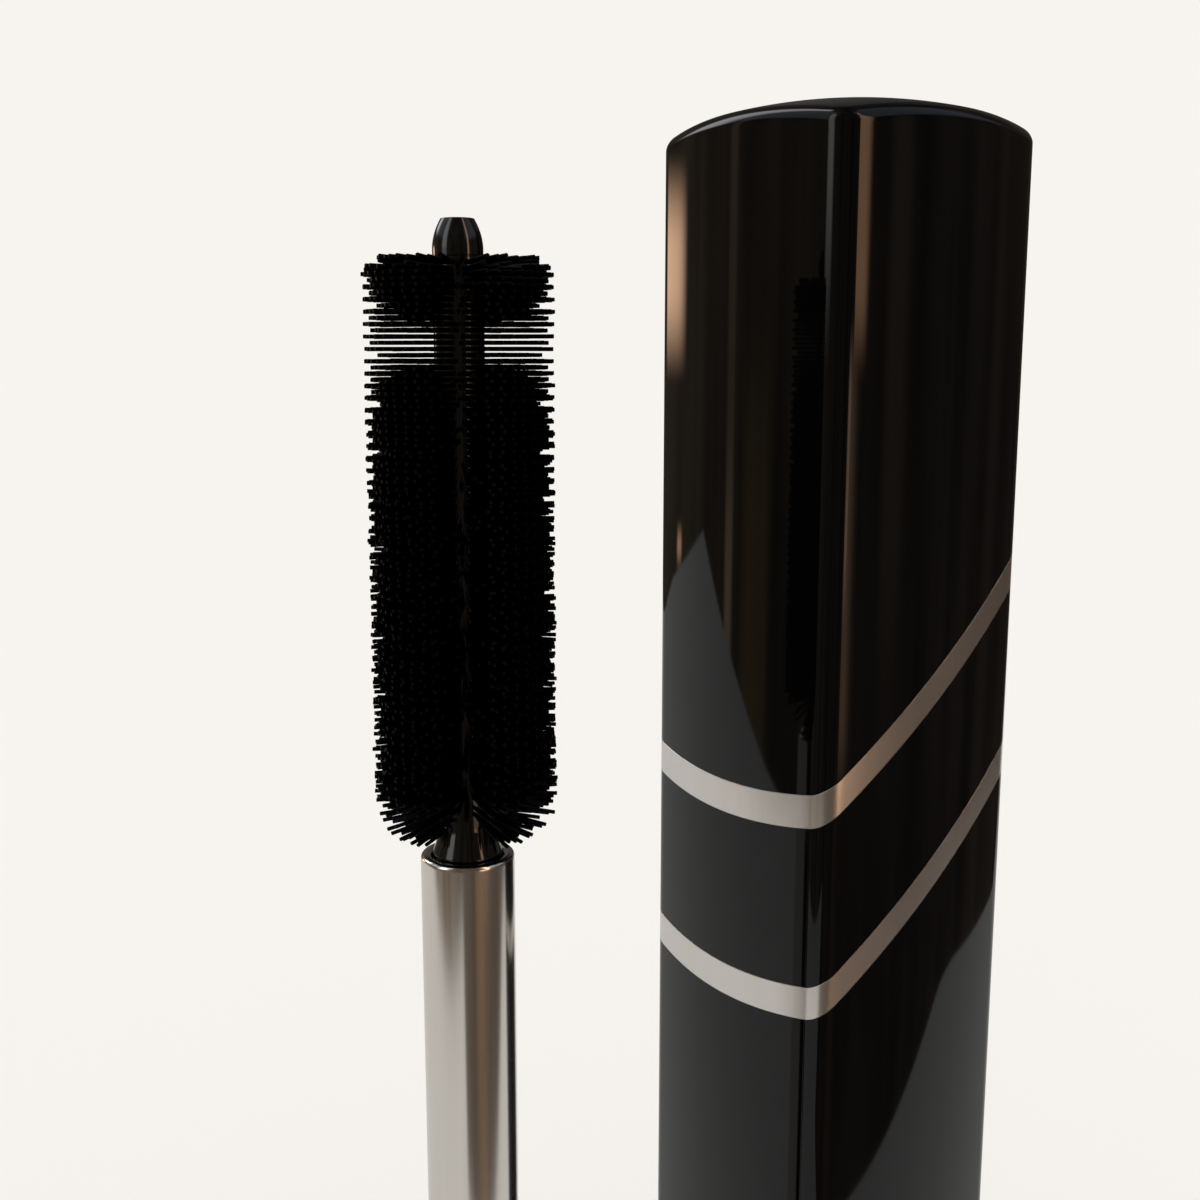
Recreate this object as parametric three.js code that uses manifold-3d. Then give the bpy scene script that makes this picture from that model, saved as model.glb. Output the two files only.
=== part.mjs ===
// An opened mascara: the wand stands brush-up on its handle, and the tube stands beside it on its neck.
// Millimetres, +Z up, z = 0 on the surface both stand on. +X runs from the wand's axis to the tube's axis.
import * as THREE from "three";
import { mergeVertices } from "three/addons/utils/BufferGeometryUtils.js";
import Module from "manifold-3d";

const wasm = await Module();
wasm.setup();

// ---------------------------------------------------------------------------------------------------------
// Driving dimensions, mm and degrees
// ---------------------------------------------------------------------------------------------------------
// Case section, shared by the tube and the handle: a square with bulged sides and round corners.
const SIDE_RADIUS = 26.7; // radius of a bulged side
const CORNER_RADIUS = 1.4;
const CASE_WALL = 0.9;
const EDGE_RADIUS = 0.55; // rounding where the sides meet a closed end
const STANDING_GAP = 4.25; // between the two cases' corner circles, as they stand side by side

// Clearances
const GAP = 0.3; // between pieces nested in or stacked on each other
const INLAY_GAP = 0.1; // between a band and its groove
const THREAD_CLEARANCE = 0.15; // neck thread to socket wall, on the radius
const WIPER_CLEARANCE = 0.1; // wiper orifice to rod, on the radius
const BRUSH_CLEARANCE = 1.25; // brush to bottle, on the radius
const TIP_CLEARANCE = 1.5; // brush tip to the bottle's end when closed

// Tube
const DOME_RADIUS = 26.7; // the closed end is part of a sphere
const DOME_WALL = 3.06; // on the axis
const COLLAR_THICKNESS = 1.4;
const COLLAR_SPIGOT = 2;
const NECK_LENGTH = 12;
const NECK_RADIUS = 4.8;
const SOCKET_WALL = 0.7; // least wall around the socket's threads
const BOTTLE_WALL = 0.9;
const THREAD_HEIGHT = 0.5;
const THREAD_PITCH = 2.8;
const THREAD_TURNS = 1.5;
const THREAD_START = 3.5; // from the bottle's lip to the first turn
const WIPER_FLANGE = 0.6;
const WIPER_DEPTH = 8.5;
const WIPER_WALL = 0.5;
const WIPER_TAPER = 2; // height of its cone for each millimetre it narrows
const WEIGHT_CLEARANCE = 1.5; // from the closed end of the bottle to the weight
const TUBE_WEIGHT_LENGTH = 17.3;

// Bands: two inlaid rings between parallel planes that rise towards +X, away from the wand
const BAND_HEIGHT = 1.66; // measured along the axis
const BAND_SPACING = 9.78;
const BAND_DROP = 27.32; // from the top of the dome to the upper band's top edge, on the axis
const BAND_TILT = 39.8;
const BAND_DEPTH = 0.3;

// Wand
const HANDLE_END_WALL = 1.2;
const HANDLE_WEIGHT_LENGTH = 6.9;
const SOCKET_FLANGE = 1.2;
const SOCKET_RECESS = 0.4; // of the socket's flange below the handle's mouth
const SOCKET_FLOOR = 1.2;
const LINER_THICKNESS = 0.8;
const HUB_RADIUS = 3.4;
const HUB_DEPTH = 7; // below the socket's floor
const WAND_REACH = 66; // brush tip above the handle's mouth
const ROD_RADIUS = 2.1;
const ROD_WALL = 0.5;
const ROD_LIP_RADIUS = 0.125; // rounding of its upper end
const PLUG_LENGTH = 8;

// Brush
const BRUSH_LENGTH = 27.6; // rod end to tip
const CORE_RADIUS = 1.07;
const CONE_RADIUS = 1.6; // foot of the cone that the core stands on, above the rod's end
const CONE_HEIGHT = 0.9;
const TIP_LENGTH = 1.6;
const TIP_FACE_RADIUS = 0.7;
const TIP_FULLNESS = 3; // power by which the tip narrows towards its face
const BRUSH_RADIUS = 4;
const TOP_RINGS = 0.6; // height of the two rings that lift, at the tip's foot
const ROOT_RINGS = 1.2; // height of the shorter rings above the cone
const ROOT_RADIUS = 3; // radius of the lowest ring

// Facets
const ROUND_SIDES = 32;
const SIDE_STEPS = 6;
const CORNER_STEPS = 4;
const EDGE_STEPS = 3;
const DOME_STEPS = 4;
const TIP_STEPS = 4;
const THREAD_SIDES = 8;
const THREAD_STEPS_PER_TURN = 20;

// ---------------------------------------------------------------------------------------------------------
// Worked out from them
// ---------------------------------------------------------------------------------------------------------
const radians = THREE.MathUtils.degToRad;
const NECK_BORE = NECK_RADIUS - BOTTLE_WALL;
const SOCKET_BORE = NECK_RADIUS + THREAD_HEIGHT + THREAD_CLEARANCE;
const ROD_HOLE = ROD_RADIUS + GAP;

// The round pieces that slide into a case are as wide as the socket or the bottle needs, and the case goes
// around them. Half width is from the axis to the middle of a side.
const NESTED_RADIUS = Math.max(
  SOCKET_BORE + SOCKET_WALL,
  BRUSH_RADIUS + BRUSH_CLEARANCE + BOTTLE_WALL,
);
const BOTTLE_BORE = NESTED_RADIUS - BOTTLE_WALL;
const INNER_HALF_WIDTH = NESTED_RADIUS + GAP;
const HALF_WIDTH = INNER_HALF_WIDTH + CASE_WALL;

// Heights on the tube, from its mouth up
const LIP_Z = WIPER_FLANGE + GAP;
const COLLAR_TOP = NECK_LENGTH + COLLAR_THICKNESS;
const SPIGOT_TOP = COLLAR_TOP + COLLAR_SPIGOT;
const SHELL_FOOT = COLLAR_TOP + GAP;
const BOTTLE_SHOULDER = SPIGOT_TOP + GAP;
const BOTTLE_FLOOR = NECK_LENGTH + WAND_REACH + TIP_CLEARANCE;
const BOTTLE_TOP = BOTTLE_FLOOR + BOTTLE_WALL;
const TUBE_WEIGHT_FOOT = BOTTLE_TOP + WEIGHT_CLEARANCE;
const SHELL_CEILING = TUBE_WEIGHT_FOOT + TUBE_WEIGHT_LENGTH + GAP;
const DOME_TOP = SHELL_CEILING + DOME_WALL;

// Heights on the wand, from the handle's end up
const HANDLE_WEIGHT_FOOT = HANDLE_END_WALL + GAP;
const HUB_FOOT = HANDLE_WEIGHT_FOOT + HANDLE_WEIGHT_LENGTH + GAP;
const ROD_FOOT = HUB_FOOT + SOCKET_FLOOR + GAP;
const SOCKET_UNDERSIDE = HUB_FOOT + HUB_DEPTH;
const SOCKET_FLOOR_Z = SOCKET_UNDERSIDE + SOCKET_FLOOR;
const LINER_TOP = SOCKET_FLOOR_Z + GAP + LINER_THICKNESS;
const MOUTH_Z = LINER_TOP + NECK_LENGTH;
const FLANGE_TOP = MOUTH_Z - SOCKET_RECESS;
const TIP_Z = MOUTH_Z + WAND_REACH;
const ROD_TOP = TIP_Z - BRUSH_LENGTH;
const TIP_FOOT = TIP_Z - TIP_LENGTH;
const CONE_FOOT = ROD_TOP + GAP;
const ROOT_FOOT = CONE_FOOT + CONE_HEIGHT + GAP;
const MAIN_FOOT = ROOT_FOOT + ROOT_RINGS;
const MAIN_TOP = TIP_FOOT - TOP_RINGS;
const BRISTLE_BORE = CORE_RADIUS + GAP;

// ---------------------------------------------------------------------------------------------------------
// Shapes
// ---------------------------------------------------------------------------------------------------------
// Evenly spaced values from start to end, both included.
function spread(start, end, steps) {
  return Array.from({ length: steps + 1 }, (_, i) => start + ((end - start) * i) / steps);
}

// Centres of the section's arcs: a side's on the axis through its middle, a corner's on the diagonal, at the
// point whose distance from the side's centre is the difference of their radii, so that they meet smoothly.
const SIDE_CENTRE = HALF_WIDTH - SIDE_RADIUS;
const ARC_REACH = SIDE_RADIUS - CORNER_RADIUS;
const CORNER_CENTRE = (SIDE_CENTRE + Math.sqrt(2 * ARC_REACH ** 2 - SIDE_CENTRE ** 2)) / 2;
const CORNER_REACH = Math.SQRT2 * CORNER_CENTRE + CORNER_RADIUS;
const AXIS_SPACING = 2 * CORNER_REACH + STANDING_GAP;

// The case section, counterclockwise from -Y.
function caseOutline() {
  const meet = Math.atan2(CORNER_CENTRE, CORNER_CENTRE - SIDE_CENTRE); // angle where two arcs meet
  const points = [];
  for (let quarter = 0; quarter < 4; quarter += 1) {
    const turn = ((quarter - 1) * Math.PI) / 2;
    const add = (centreX, centreY, radius, angle) => {
      const point = new THREE.Vector2(
        centreX + radius * Math.cos(angle),
        centreY + radius * Math.sin(angle),
      );
      points.push(point.rotateAround(new THREE.Vector2(), turn));
    };
    spread(-meet, meet, SIDE_STEPS)
      .slice(0, -1)
      .forEach((angle) => add(SIDE_CENTRE, 0, SIDE_RADIUS, angle));
    spread(meet, Math.PI / 2 - meet, CORNER_STEPS)
      .slice(0, -1)
      .forEach((angle) => add(CORNER_CENTRE, CORNER_CENTRE, CORNER_RADIUS, angle));
  }
  return points;
}
const OUTLINE = caseOutline();

// A solid of revolution about +Z from [radius, z] points, anticlockwise with the radius to the right.
function roundSolid(profile, sides = ROUND_SIDES) {
  const points = profile.map(([radius, z]) => new THREE.Vector2(radius, z));
  return new THREE.LatheGeometry(points, sides).rotateX(Math.PI / 2);
}

// The same with the case section in place of the circle. A point's first value is its half width.
function caseSolid(profile) {
  const geometry = roundSolid(profile, OUTLINE.length);
  const position = geometry.getAttribute("position");
  for (let i = 0; i <= OUTLINE.length; i += 1) {
    const corner = OUTLINE[i % OUTLINE.length];
    profile.forEach(([halfWidth], j) => {
      const scale = halfWidth / HALF_WIDTH;
      position.setX(i * profile.length + j, corner.x * scale);
      position.setY(i * profile.length + j, corner.y * scale);
    });
  }
  return geometry;
}

// [radius, z] points of an arc in a profile.
function arc(centre, centreZ, radius, start, end, steps) {
  return spread(start, end, steps).map((angle) => [
    centre + radius * Math.cos(angle),
    centreZ + radius * Math.sin(angle),
  ]);
}

// A helix about +Z.
class Helix extends THREE.Curve {
  constructor(radius, start) {
    super();
    this.radius = radius;
    this.start = start;
  }

  getPoint(t, target = new THREE.Vector3()) {
    const angle = 2 * Math.PI * THREAD_TURNS * t;
    return target.set(
      this.radius * Math.cos(angle),
      this.radius * Math.sin(angle),
      this.start + THREAD_PITCH * THREAD_TURNS * t,
    );
  }
}

// A round thread of THREAD_TURNS turns whose middle lies on a cylinder of the given radius.
function threadRidge(radius, start) {
  const section = new THREE.Shape().absarc(0, 0, THREAD_HEIGHT, 0, 2 * Math.PI);
  return new THREE.ExtrudeGeometry(section, {
    steps: Math.round(THREAD_TURNS * THREAD_STEPS_PER_TURN),
    curveSegments: THREAD_SIDES,
    extrudePath: new Helix(radius, start),
  });
}

// ---------------------------------------------------------------------------------------------------------
// Cuts and joins
// ---------------------------------------------------------------------------------------------------------
function toSolid(geometry) {
  const bare = geometry.clone();
  bare.deleteAttribute("normal");
  bare.deleteAttribute("uv");
  const merged = mergeVertices(bare);
  return new wasm.Manifold(
    new wasm.Mesh({
      numProp: 3,
      vertProperties: new Float32Array(merged.getAttribute("position").array),
      triVerts: new Uint32Array(merged.index.array),
    }),
  );
}

function toGeometry(solid) {
  const mesh = solid.getMesh();
  const geometry = new THREE.BufferGeometry();
  geometry.setAttribute("position", new THREE.BufferAttribute(mesh.vertProperties, 3));
  geometry.setIndex(new THREE.BufferAttribute(mesh.triVerts, 1));
  geometry.computeVertexNormals();
  return geometry;
}

function cut(geometry, ...tools) {
  return toGeometry(tools.reduce((left, tool) => left.subtract(toSolid(tool)), toSolid(geometry)));
}

function join(geometry, ...others) {
  return toGeometry(others.reduce((sum, other) => sum.add(toSolid(other)), toSolid(geometry)));
}

function common(first, second) {
  return toGeometry(toSolid(first).intersect(toSolid(second)));
}

// ---------------------------------------------------------------------------------------------------------
// Tube
// ---------------------------------------------------------------------------------------------------------
// How far the dome has fallen from its top at a distance from the axis.
function domeFall(distance) {
  return DOME_RADIUS - Math.sqrt(DOME_RADIUS ** 2 - distance ** 2);
}

// A closed case: its flat end, the points above the ceiling, is lowered by the dome's fall where each point is.
function domed(geometry) {
  const position = geometry.getAttribute("position");
  for (let i = 0; i < position.count; i += 1) {
    if (position.getZ(i) > SHELL_CEILING + GAP) {
      const distance = Math.hypot(position.getX(i), position.getY(i));
      position.setZ(i, position.getZ(i) - domeFall(distance));
    }
  }
  return geometry;
}

// What lies between a band's two planes, grown by a margin, out to a margin beyond the case.
function bandRing(drop, margin) {
  const ring = caseSolid([
    [HALF_WIDTH - BAND_DEPTH - margin, SHELL_FOOT],
    [HALF_WIDTH + margin, SHELL_FOOT],
    [HALF_WIDTH + margin, DOME_TOP],
    [HALF_WIDTH - BAND_DEPTH - margin, DOME_TOP],
    [HALF_WIDTH - BAND_DEPTH - margin, SHELL_FOOT],
  ]);
  const tilt = radians(BAND_TILT);
  const thickness = BAND_HEIGHT * Math.cos(tilt) + 2 * margin;
  const width = (2 * CORNER_REACH + 2 * margin) / Math.cos(tilt) + 2 * thickness;
  const slab = new THREE.BoxGeometry(width, width, thickness)
    .rotateY(-tilt)
    .translate(0, 0, DOME_TOP - drop - BAND_HEIGHT / 2);
  return common(ring, slab);
}

function tubeShell() {
  const centre = HALF_WIDTH - EDGE_RADIUS;
  const shell = caseSolid([
    [0, SHELL_CEILING],
    [INNER_HALF_WIDTH, SHELL_CEILING],
    [INNER_HALF_WIDTH, SHELL_FOOT],
    [HALF_WIDTH, SHELL_FOOT],
    ...arc(centre, DOME_TOP - EDGE_RADIUS, EDGE_RADIUS, 0, Math.PI / 2, EDGE_STEPS),
    ...spread(centre, 0, DOME_STEPS)
      .slice(1)
      .map((half) => [half, DOME_TOP]),
  ]);
  return cut(
    domed(shell),
    bandRing(BAND_DROP, INLAY_GAP),
    bandRing(BAND_DROP + BAND_SPACING, INLAY_GAP),
  );
}

// Closes the shell around the neck: a plate the size of the case and a spigot inside the shell.
function collar() {
  const plate = caseSolid([
    [0, NECK_LENGTH],
    [HALF_WIDTH, NECK_LENGTH],
    [HALF_WIDTH, COLLAR_TOP],
    [INNER_HALF_WIDTH - GAP, COLLAR_TOP],
    [INNER_HALF_WIDTH - GAP, SPIGOT_TOP],
    [0, SPIGOT_TOP],
  ]);
  const hole = roundSolid([
    [0, NECK_LENGTH - GAP],
    [NECK_RADIUS + GAP, NECK_LENGTH - GAP],
    [NECK_RADIUS + GAP, SPIGOT_TOP + GAP],
    [0, SPIGOT_TOP + GAP],
  ]);
  return cut(plate, hole);
}

function bottle() {
  const body = roundSolid([
    [0, BOTTLE_FLOOR],
    [BOTTLE_BORE, BOTTLE_FLOOR],
    [BOTTLE_BORE, BOTTLE_SHOULDER + BOTTLE_WALL],
    [NECK_BORE, BOTTLE_SHOULDER],
    [NECK_BORE, LIP_Z],
    [NECK_RADIUS, LIP_Z],
    [NECK_RADIUS, BOTTLE_SHOULDER],
    [NESTED_RADIUS, BOTTLE_SHOULDER],
    ...arc(NESTED_RADIUS - BOTTLE_WALL, BOTTLE_FLOOR, BOTTLE_WALL, 0, Math.PI / 2, EDGE_STEPS),
    [0, BOTTLE_TOP],
  ]);
  return join(body, threadRidge(NECK_RADIUS, LIP_Z + THREAD_START));
}

// A flange on the lip, a sleeve in the neck, and a cone that narrows to the orifice.
function wiper() {
  const outer = NECK_BORE - GAP;
  const orifice = ROD_RADIUS + WIPER_CLEARANCE;
  const coneFoot = WIPER_DEPTH - WIPER_TAPER * (outer - orifice);
  return roundSolid([
    [outer - WIPER_WALL, 0],
    [NECK_RADIUS, 0],
    [NECK_RADIUS, WIPER_FLANGE],
    [outer, WIPER_FLANGE],
    [outer, coneFoot],
    [orifice + WIPER_WALL, WIPER_DEPTH],
    [orifice, WIPER_DEPTH],
    [outer - WIPER_WALL, coneFoot],
    [outer - WIPER_WALL, 0],
  ]);
}

// A turned slug that fills a case's closed end.
function weight(foot, length) {
  return roundSolid([
    [0, foot],
    [NESTED_RADIUS, foot],
    [NESTED_RADIUS, foot + length],
    [0, foot + length],
  ]);
}

// ---------------------------------------------------------------------------------------------------------
// Wand
// ---------------------------------------------------------------------------------------------------------
function handleShell() {
  return caseSolid([
    [0, 0],
    ...arc(HALF_WIDTH - EDGE_RADIUS, EDGE_RADIUS, EDGE_RADIUS, -Math.PI / 2, 0, EDGE_STEPS),
    [HALF_WIDTH, MOUTH_Z],
    [INNER_HALF_WIDTH, MOUTH_Z],
    [INNER_HALF_WIDTH, HANDLE_END_WALL],
    [0, HANDLE_END_WALL],
  ]);
}

// The threaded socket that the neck screws into, its flange in the handle's mouth, and the hub for the rod.
function socket() {
  const flangeFoot = FLANGE_TOP - SOCKET_FLANGE;
  const barrelTop = FLANGE_TOP - SOCKET_FLANGE / 2; // inside the flange, so that the two join
  const flange = caseSolid([
    [0, flangeFoot],
    [INNER_HALF_WIDTH - GAP, flangeFoot],
    [INNER_HALF_WIDTH - GAP, FLANGE_TOP],
    [0, FLANGE_TOP],
  ]);
  const bore = roundSolid([
    [0, HUB_FOOT + SOCKET_FLOOR],
    [ROD_HOLE, HUB_FOOT + SOCKET_FLOOR],
    [ROD_HOLE, SOCKET_FLOOR_Z],
    [SOCKET_BORE, SOCKET_FLOOR_Z],
    [SOCKET_BORE, MOUTH_Z],
    [0, MOUTH_Z],
  ]);
  const barrel = roundSolid([
    [0, HUB_FOOT],
    [HUB_RADIUS, HUB_FOOT],
    [HUB_RADIUS, SOCKET_UNDERSIDE],
    [NESTED_RADIUS, SOCKET_UNDERSIDE],
    [NESTED_RADIUS, barrelTop],
    [0, barrelTop],
  ]);
  const body = cut(join(barrel, flange), bore);
  const lead = LINER_TOP + THREAD_START;
  return join(body, threadRidge(SOCKET_BORE, lead));
}

function liner() {
  const outer = SOCKET_BORE - GAP;
  return roundSolid([
    [ROD_HOLE, LINER_TOP - LINER_THICKNESS],
    [outer, LINER_TOP - LINER_THICKNESS],
    [outer, LINER_TOP],
    [ROD_HOLE, LINER_TOP],
    [ROD_HOLE, LINER_TOP - LINER_THICKNESS],
  ]);
}

function rod() {
  const bore = ROD_RADIUS - ROD_WALL;
  const lipCentre = ROD_RADIUS - ROD_LIP_RADIUS;
  return roundSolid([
    [bore, ROD_FOOT],
    [ROD_RADIUS, ROD_FOOT],
    ...arc(lipCentre, ROD_TOP - ROD_LIP_RADIUS, ROD_LIP_RADIUS, 0, Math.PI / 2, EDGE_STEPS),
    [bore, ROD_TOP],
    [bore, ROD_FOOT],
  ]);
}

// The brush's core in one piece with the cone it stands on and the plug in the rod's end.
function brushCore() {
  const plugRadius = ROD_RADIUS - ROD_WALL - GAP;
  return roundSolid([
    [0, ROD_TOP - PLUG_LENGTH],
    [plugRadius, ROD_TOP - PLUG_LENGTH],
    [plugRadius, CONE_FOOT],
    [CONE_RADIUS, CONE_FOOT],
    [CORE_RADIUS, CONE_FOOT + CONE_HEIGHT],
    [CORE_RADIUS, TIP_FOOT - GAP],
    [0, TIP_FOOT - GAP],
  ]);
}

// The barrel-shaped end of the brush.
function brushTip() {
  const barrel = spread(0, 1, TIP_STEPS).map((t) => [
    CORE_RADIUS - (CORE_RADIUS - TIP_FACE_RADIUS) * t ** TIP_FULLNESS,
    TIP_FOOT + TIP_LENGTH * t,
  ]);
  return roundSolid([[0, TIP_FOOT], ...barrel, [0, TIP_Z]]);
}

function bristlesTop() {
  return roundSolid([
    [BRISTLE_BORE, MAIN_TOP + GAP],
    [BRUSH_RADIUS, MAIN_TOP + GAP],
    [BRUSH_RADIUS, TIP_FOOT],
    [BRISTLE_BORE, TIP_FOOT],
    [BRISTLE_BORE, MAIN_TOP + GAP],
  ]);
}

function bristlesMain() {
  return roundSolid([
    [BRISTLE_BORE, MAIN_FOOT],
    [BRUSH_RADIUS, MAIN_FOOT],
    [BRUSH_RADIUS, MAIN_TOP],
    [BRISTLE_BORE, MAIN_TOP],
    [BRISTLE_BORE, MAIN_FOOT],
  ]);
}

// The lowest rings, each shorter than the one above it.
function bristlesRoot() {
  const top = MAIN_FOOT - GAP;
  return roundSolid([
    [BRISTLE_BORE, ROOT_FOOT],
    [ROOT_RADIUS, ROOT_FOOT],
    [BRUSH_RADIUS, top - GAP],
    [BRUSH_RADIUS, top],
    [BRISTLE_BORE, top],
    [BRISTLE_BORE, ROOT_FOOT],
  ]);
}

// ---------------------------------------------------------------------------------------------------------
// Assembly
// ---------------------------------------------------------------------------------------------------------
const BLACK_LACQUER = { color: 0x0b0b0d, roughness: 0.08, metalness: 0 };
const CHAMPAGNE_METAL = { color: 0xc9bdb2, roughness: 0.25, metalness: 1 };
const SATIN_METAL = { color: 0xd4cdc6, roughness: 0.3, metalness: 1 };
const STEEL = { color: 0x8d8f92, roughness: 0.45, metalness: 1 };
const BLACK_MOULDING = { color: 0x131315, roughness: 0.35, metalness: 0 };
const CLEAR_MOULDING = { color: 0xd9dcda, roughness: 0.2, metalness: 0 };
const WIPER_RUBBER = { color: 0xe8e6df, roughness: 0.6, metalness: 0 };
const LINER_FOAM = { color: 0xf1efe9, roughness: 0.8, metalness: 0 };
const BRISTLE_BLACK = { color: 0x0d0c0c, roughness: 0.5, metalness: 0 };

function piece(name, geometry, finish) {
  const mesh = new THREE.Mesh(geometry, new THREE.MeshStandardMaterial(finish));
  mesh.name = name;
  return mesh;
}

const tube = new THREE.Group();
tube.position.x = AXIS_SPACING / 2;
tube.add(
  piece("tube_shell", tubeShell(), BLACK_LACQUER),
  piece("upper_band", bandRing(BAND_DROP, 0), CHAMPAGNE_METAL),
  piece("lower_band", bandRing(BAND_DROP + BAND_SPACING, 0), CHAMPAGNE_METAL),
  piece("collar", collar(), BLACK_MOULDING),
  piece("bottle", bottle(), CLEAR_MOULDING),
  piece("wiper", wiper(), WIPER_RUBBER),
  piece("base_weight", weight(TUBE_WEIGHT_FOOT, TUBE_WEIGHT_LENGTH), STEEL),
);

const wand = new THREE.Group();
wand.position.x = -AXIS_SPACING / 2;
wand.add(
  piece("handle_shell", handleShell(), BLACK_LACQUER),
  piece("socket", socket(), BLACK_MOULDING),
  piece("liner", liner(), LINER_FOAM),
  piece("handle_weight", weight(HANDLE_WEIGHT_FOOT, HANDLE_WEIGHT_LENGTH), STEEL),
  piece("rod", rod(), SATIN_METAL),
  piece("brush_core", brushCore(), BLACK_MOULDING),
  piece("brush_tip", brushTip(), BLACK_MOULDING),
  piece("bristles_top", bristlesTop(), BRISTLE_BLACK),
  piece("bristles_main", bristlesMain(), BRISTLE_BLACK),
  piece("bristles_root", bristlesRoot(), BRISTLE_BLACK),
);

const mascara = new THREE.Group();
mascara.add(tube, wand);
export default mascara;
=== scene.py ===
"""Looks of an opened mascara: a tube that stands on its neck, and its brush wand standing beside it.

Sizes are millimetres until they become a mesh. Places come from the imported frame, so each piece lies where
its CAD node does.
"""

from __future__ import annotations

import logging
import math
from collections.abc import Sequence
from dataclasses import dataclass, field
from enum import Enum
from typing import Any

import bpy
import numpy as np
from mathutils import Matrix, Vector


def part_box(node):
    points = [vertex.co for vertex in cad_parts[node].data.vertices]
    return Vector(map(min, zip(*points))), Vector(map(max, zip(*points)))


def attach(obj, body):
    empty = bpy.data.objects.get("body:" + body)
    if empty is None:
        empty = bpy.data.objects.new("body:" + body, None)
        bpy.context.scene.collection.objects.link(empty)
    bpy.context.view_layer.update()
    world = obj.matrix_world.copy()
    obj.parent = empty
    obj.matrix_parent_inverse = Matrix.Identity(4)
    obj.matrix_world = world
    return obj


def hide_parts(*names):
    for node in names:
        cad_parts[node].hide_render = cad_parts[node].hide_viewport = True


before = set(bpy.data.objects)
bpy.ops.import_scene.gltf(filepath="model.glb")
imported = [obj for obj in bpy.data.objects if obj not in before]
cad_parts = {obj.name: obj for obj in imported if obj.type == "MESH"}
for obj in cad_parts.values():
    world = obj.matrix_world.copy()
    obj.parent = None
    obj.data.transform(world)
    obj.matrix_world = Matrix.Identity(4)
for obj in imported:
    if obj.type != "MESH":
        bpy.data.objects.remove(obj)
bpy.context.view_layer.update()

LOG = logging.getLogger("mascara")
MM = 0.001
SHARP_ANGLE = math.radians(35)
GAP = 0.3  # between nested pieces, as in the frame
Colour = tuple[float, float, float]


class Body(Enum):
    """The moving bodies of the frame."""

    TUBE = "tube"
    STEM = "wand_stem"
    WAND = "wand"


# Reading the frame
@dataclass(frozen=True)
class Box:
    """The box of a CAD node at rest, in millimetres."""

    low: np.ndarray
    high: np.ndarray

    @classmethod
    def of(cls, node: str) -> Box:
        """Reads a node's box from the frame.

        Args:
            node: name of the CAD node.

        Returns:
            The box.
        """
        low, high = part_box(node)
        return cls(np.array(low) / MM, np.array(high) / MM)

    @property
    def axis_x(self) -> float:
        """Where the node's upright axis crosses the X axis."""
        return float(self.low[0] + self.high[0]) / 2

    @property
    def radius(self) -> float:
        """Half the width across Y."""
        return float(self.high[1] - self.low[1]) / 2

    @property
    def foot(self) -> float:
        """Lowest height."""
        return float(self.low[2])

    @property
    def top(self) -> float:
        """Highest height."""
        return float(self.high[2])


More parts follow.
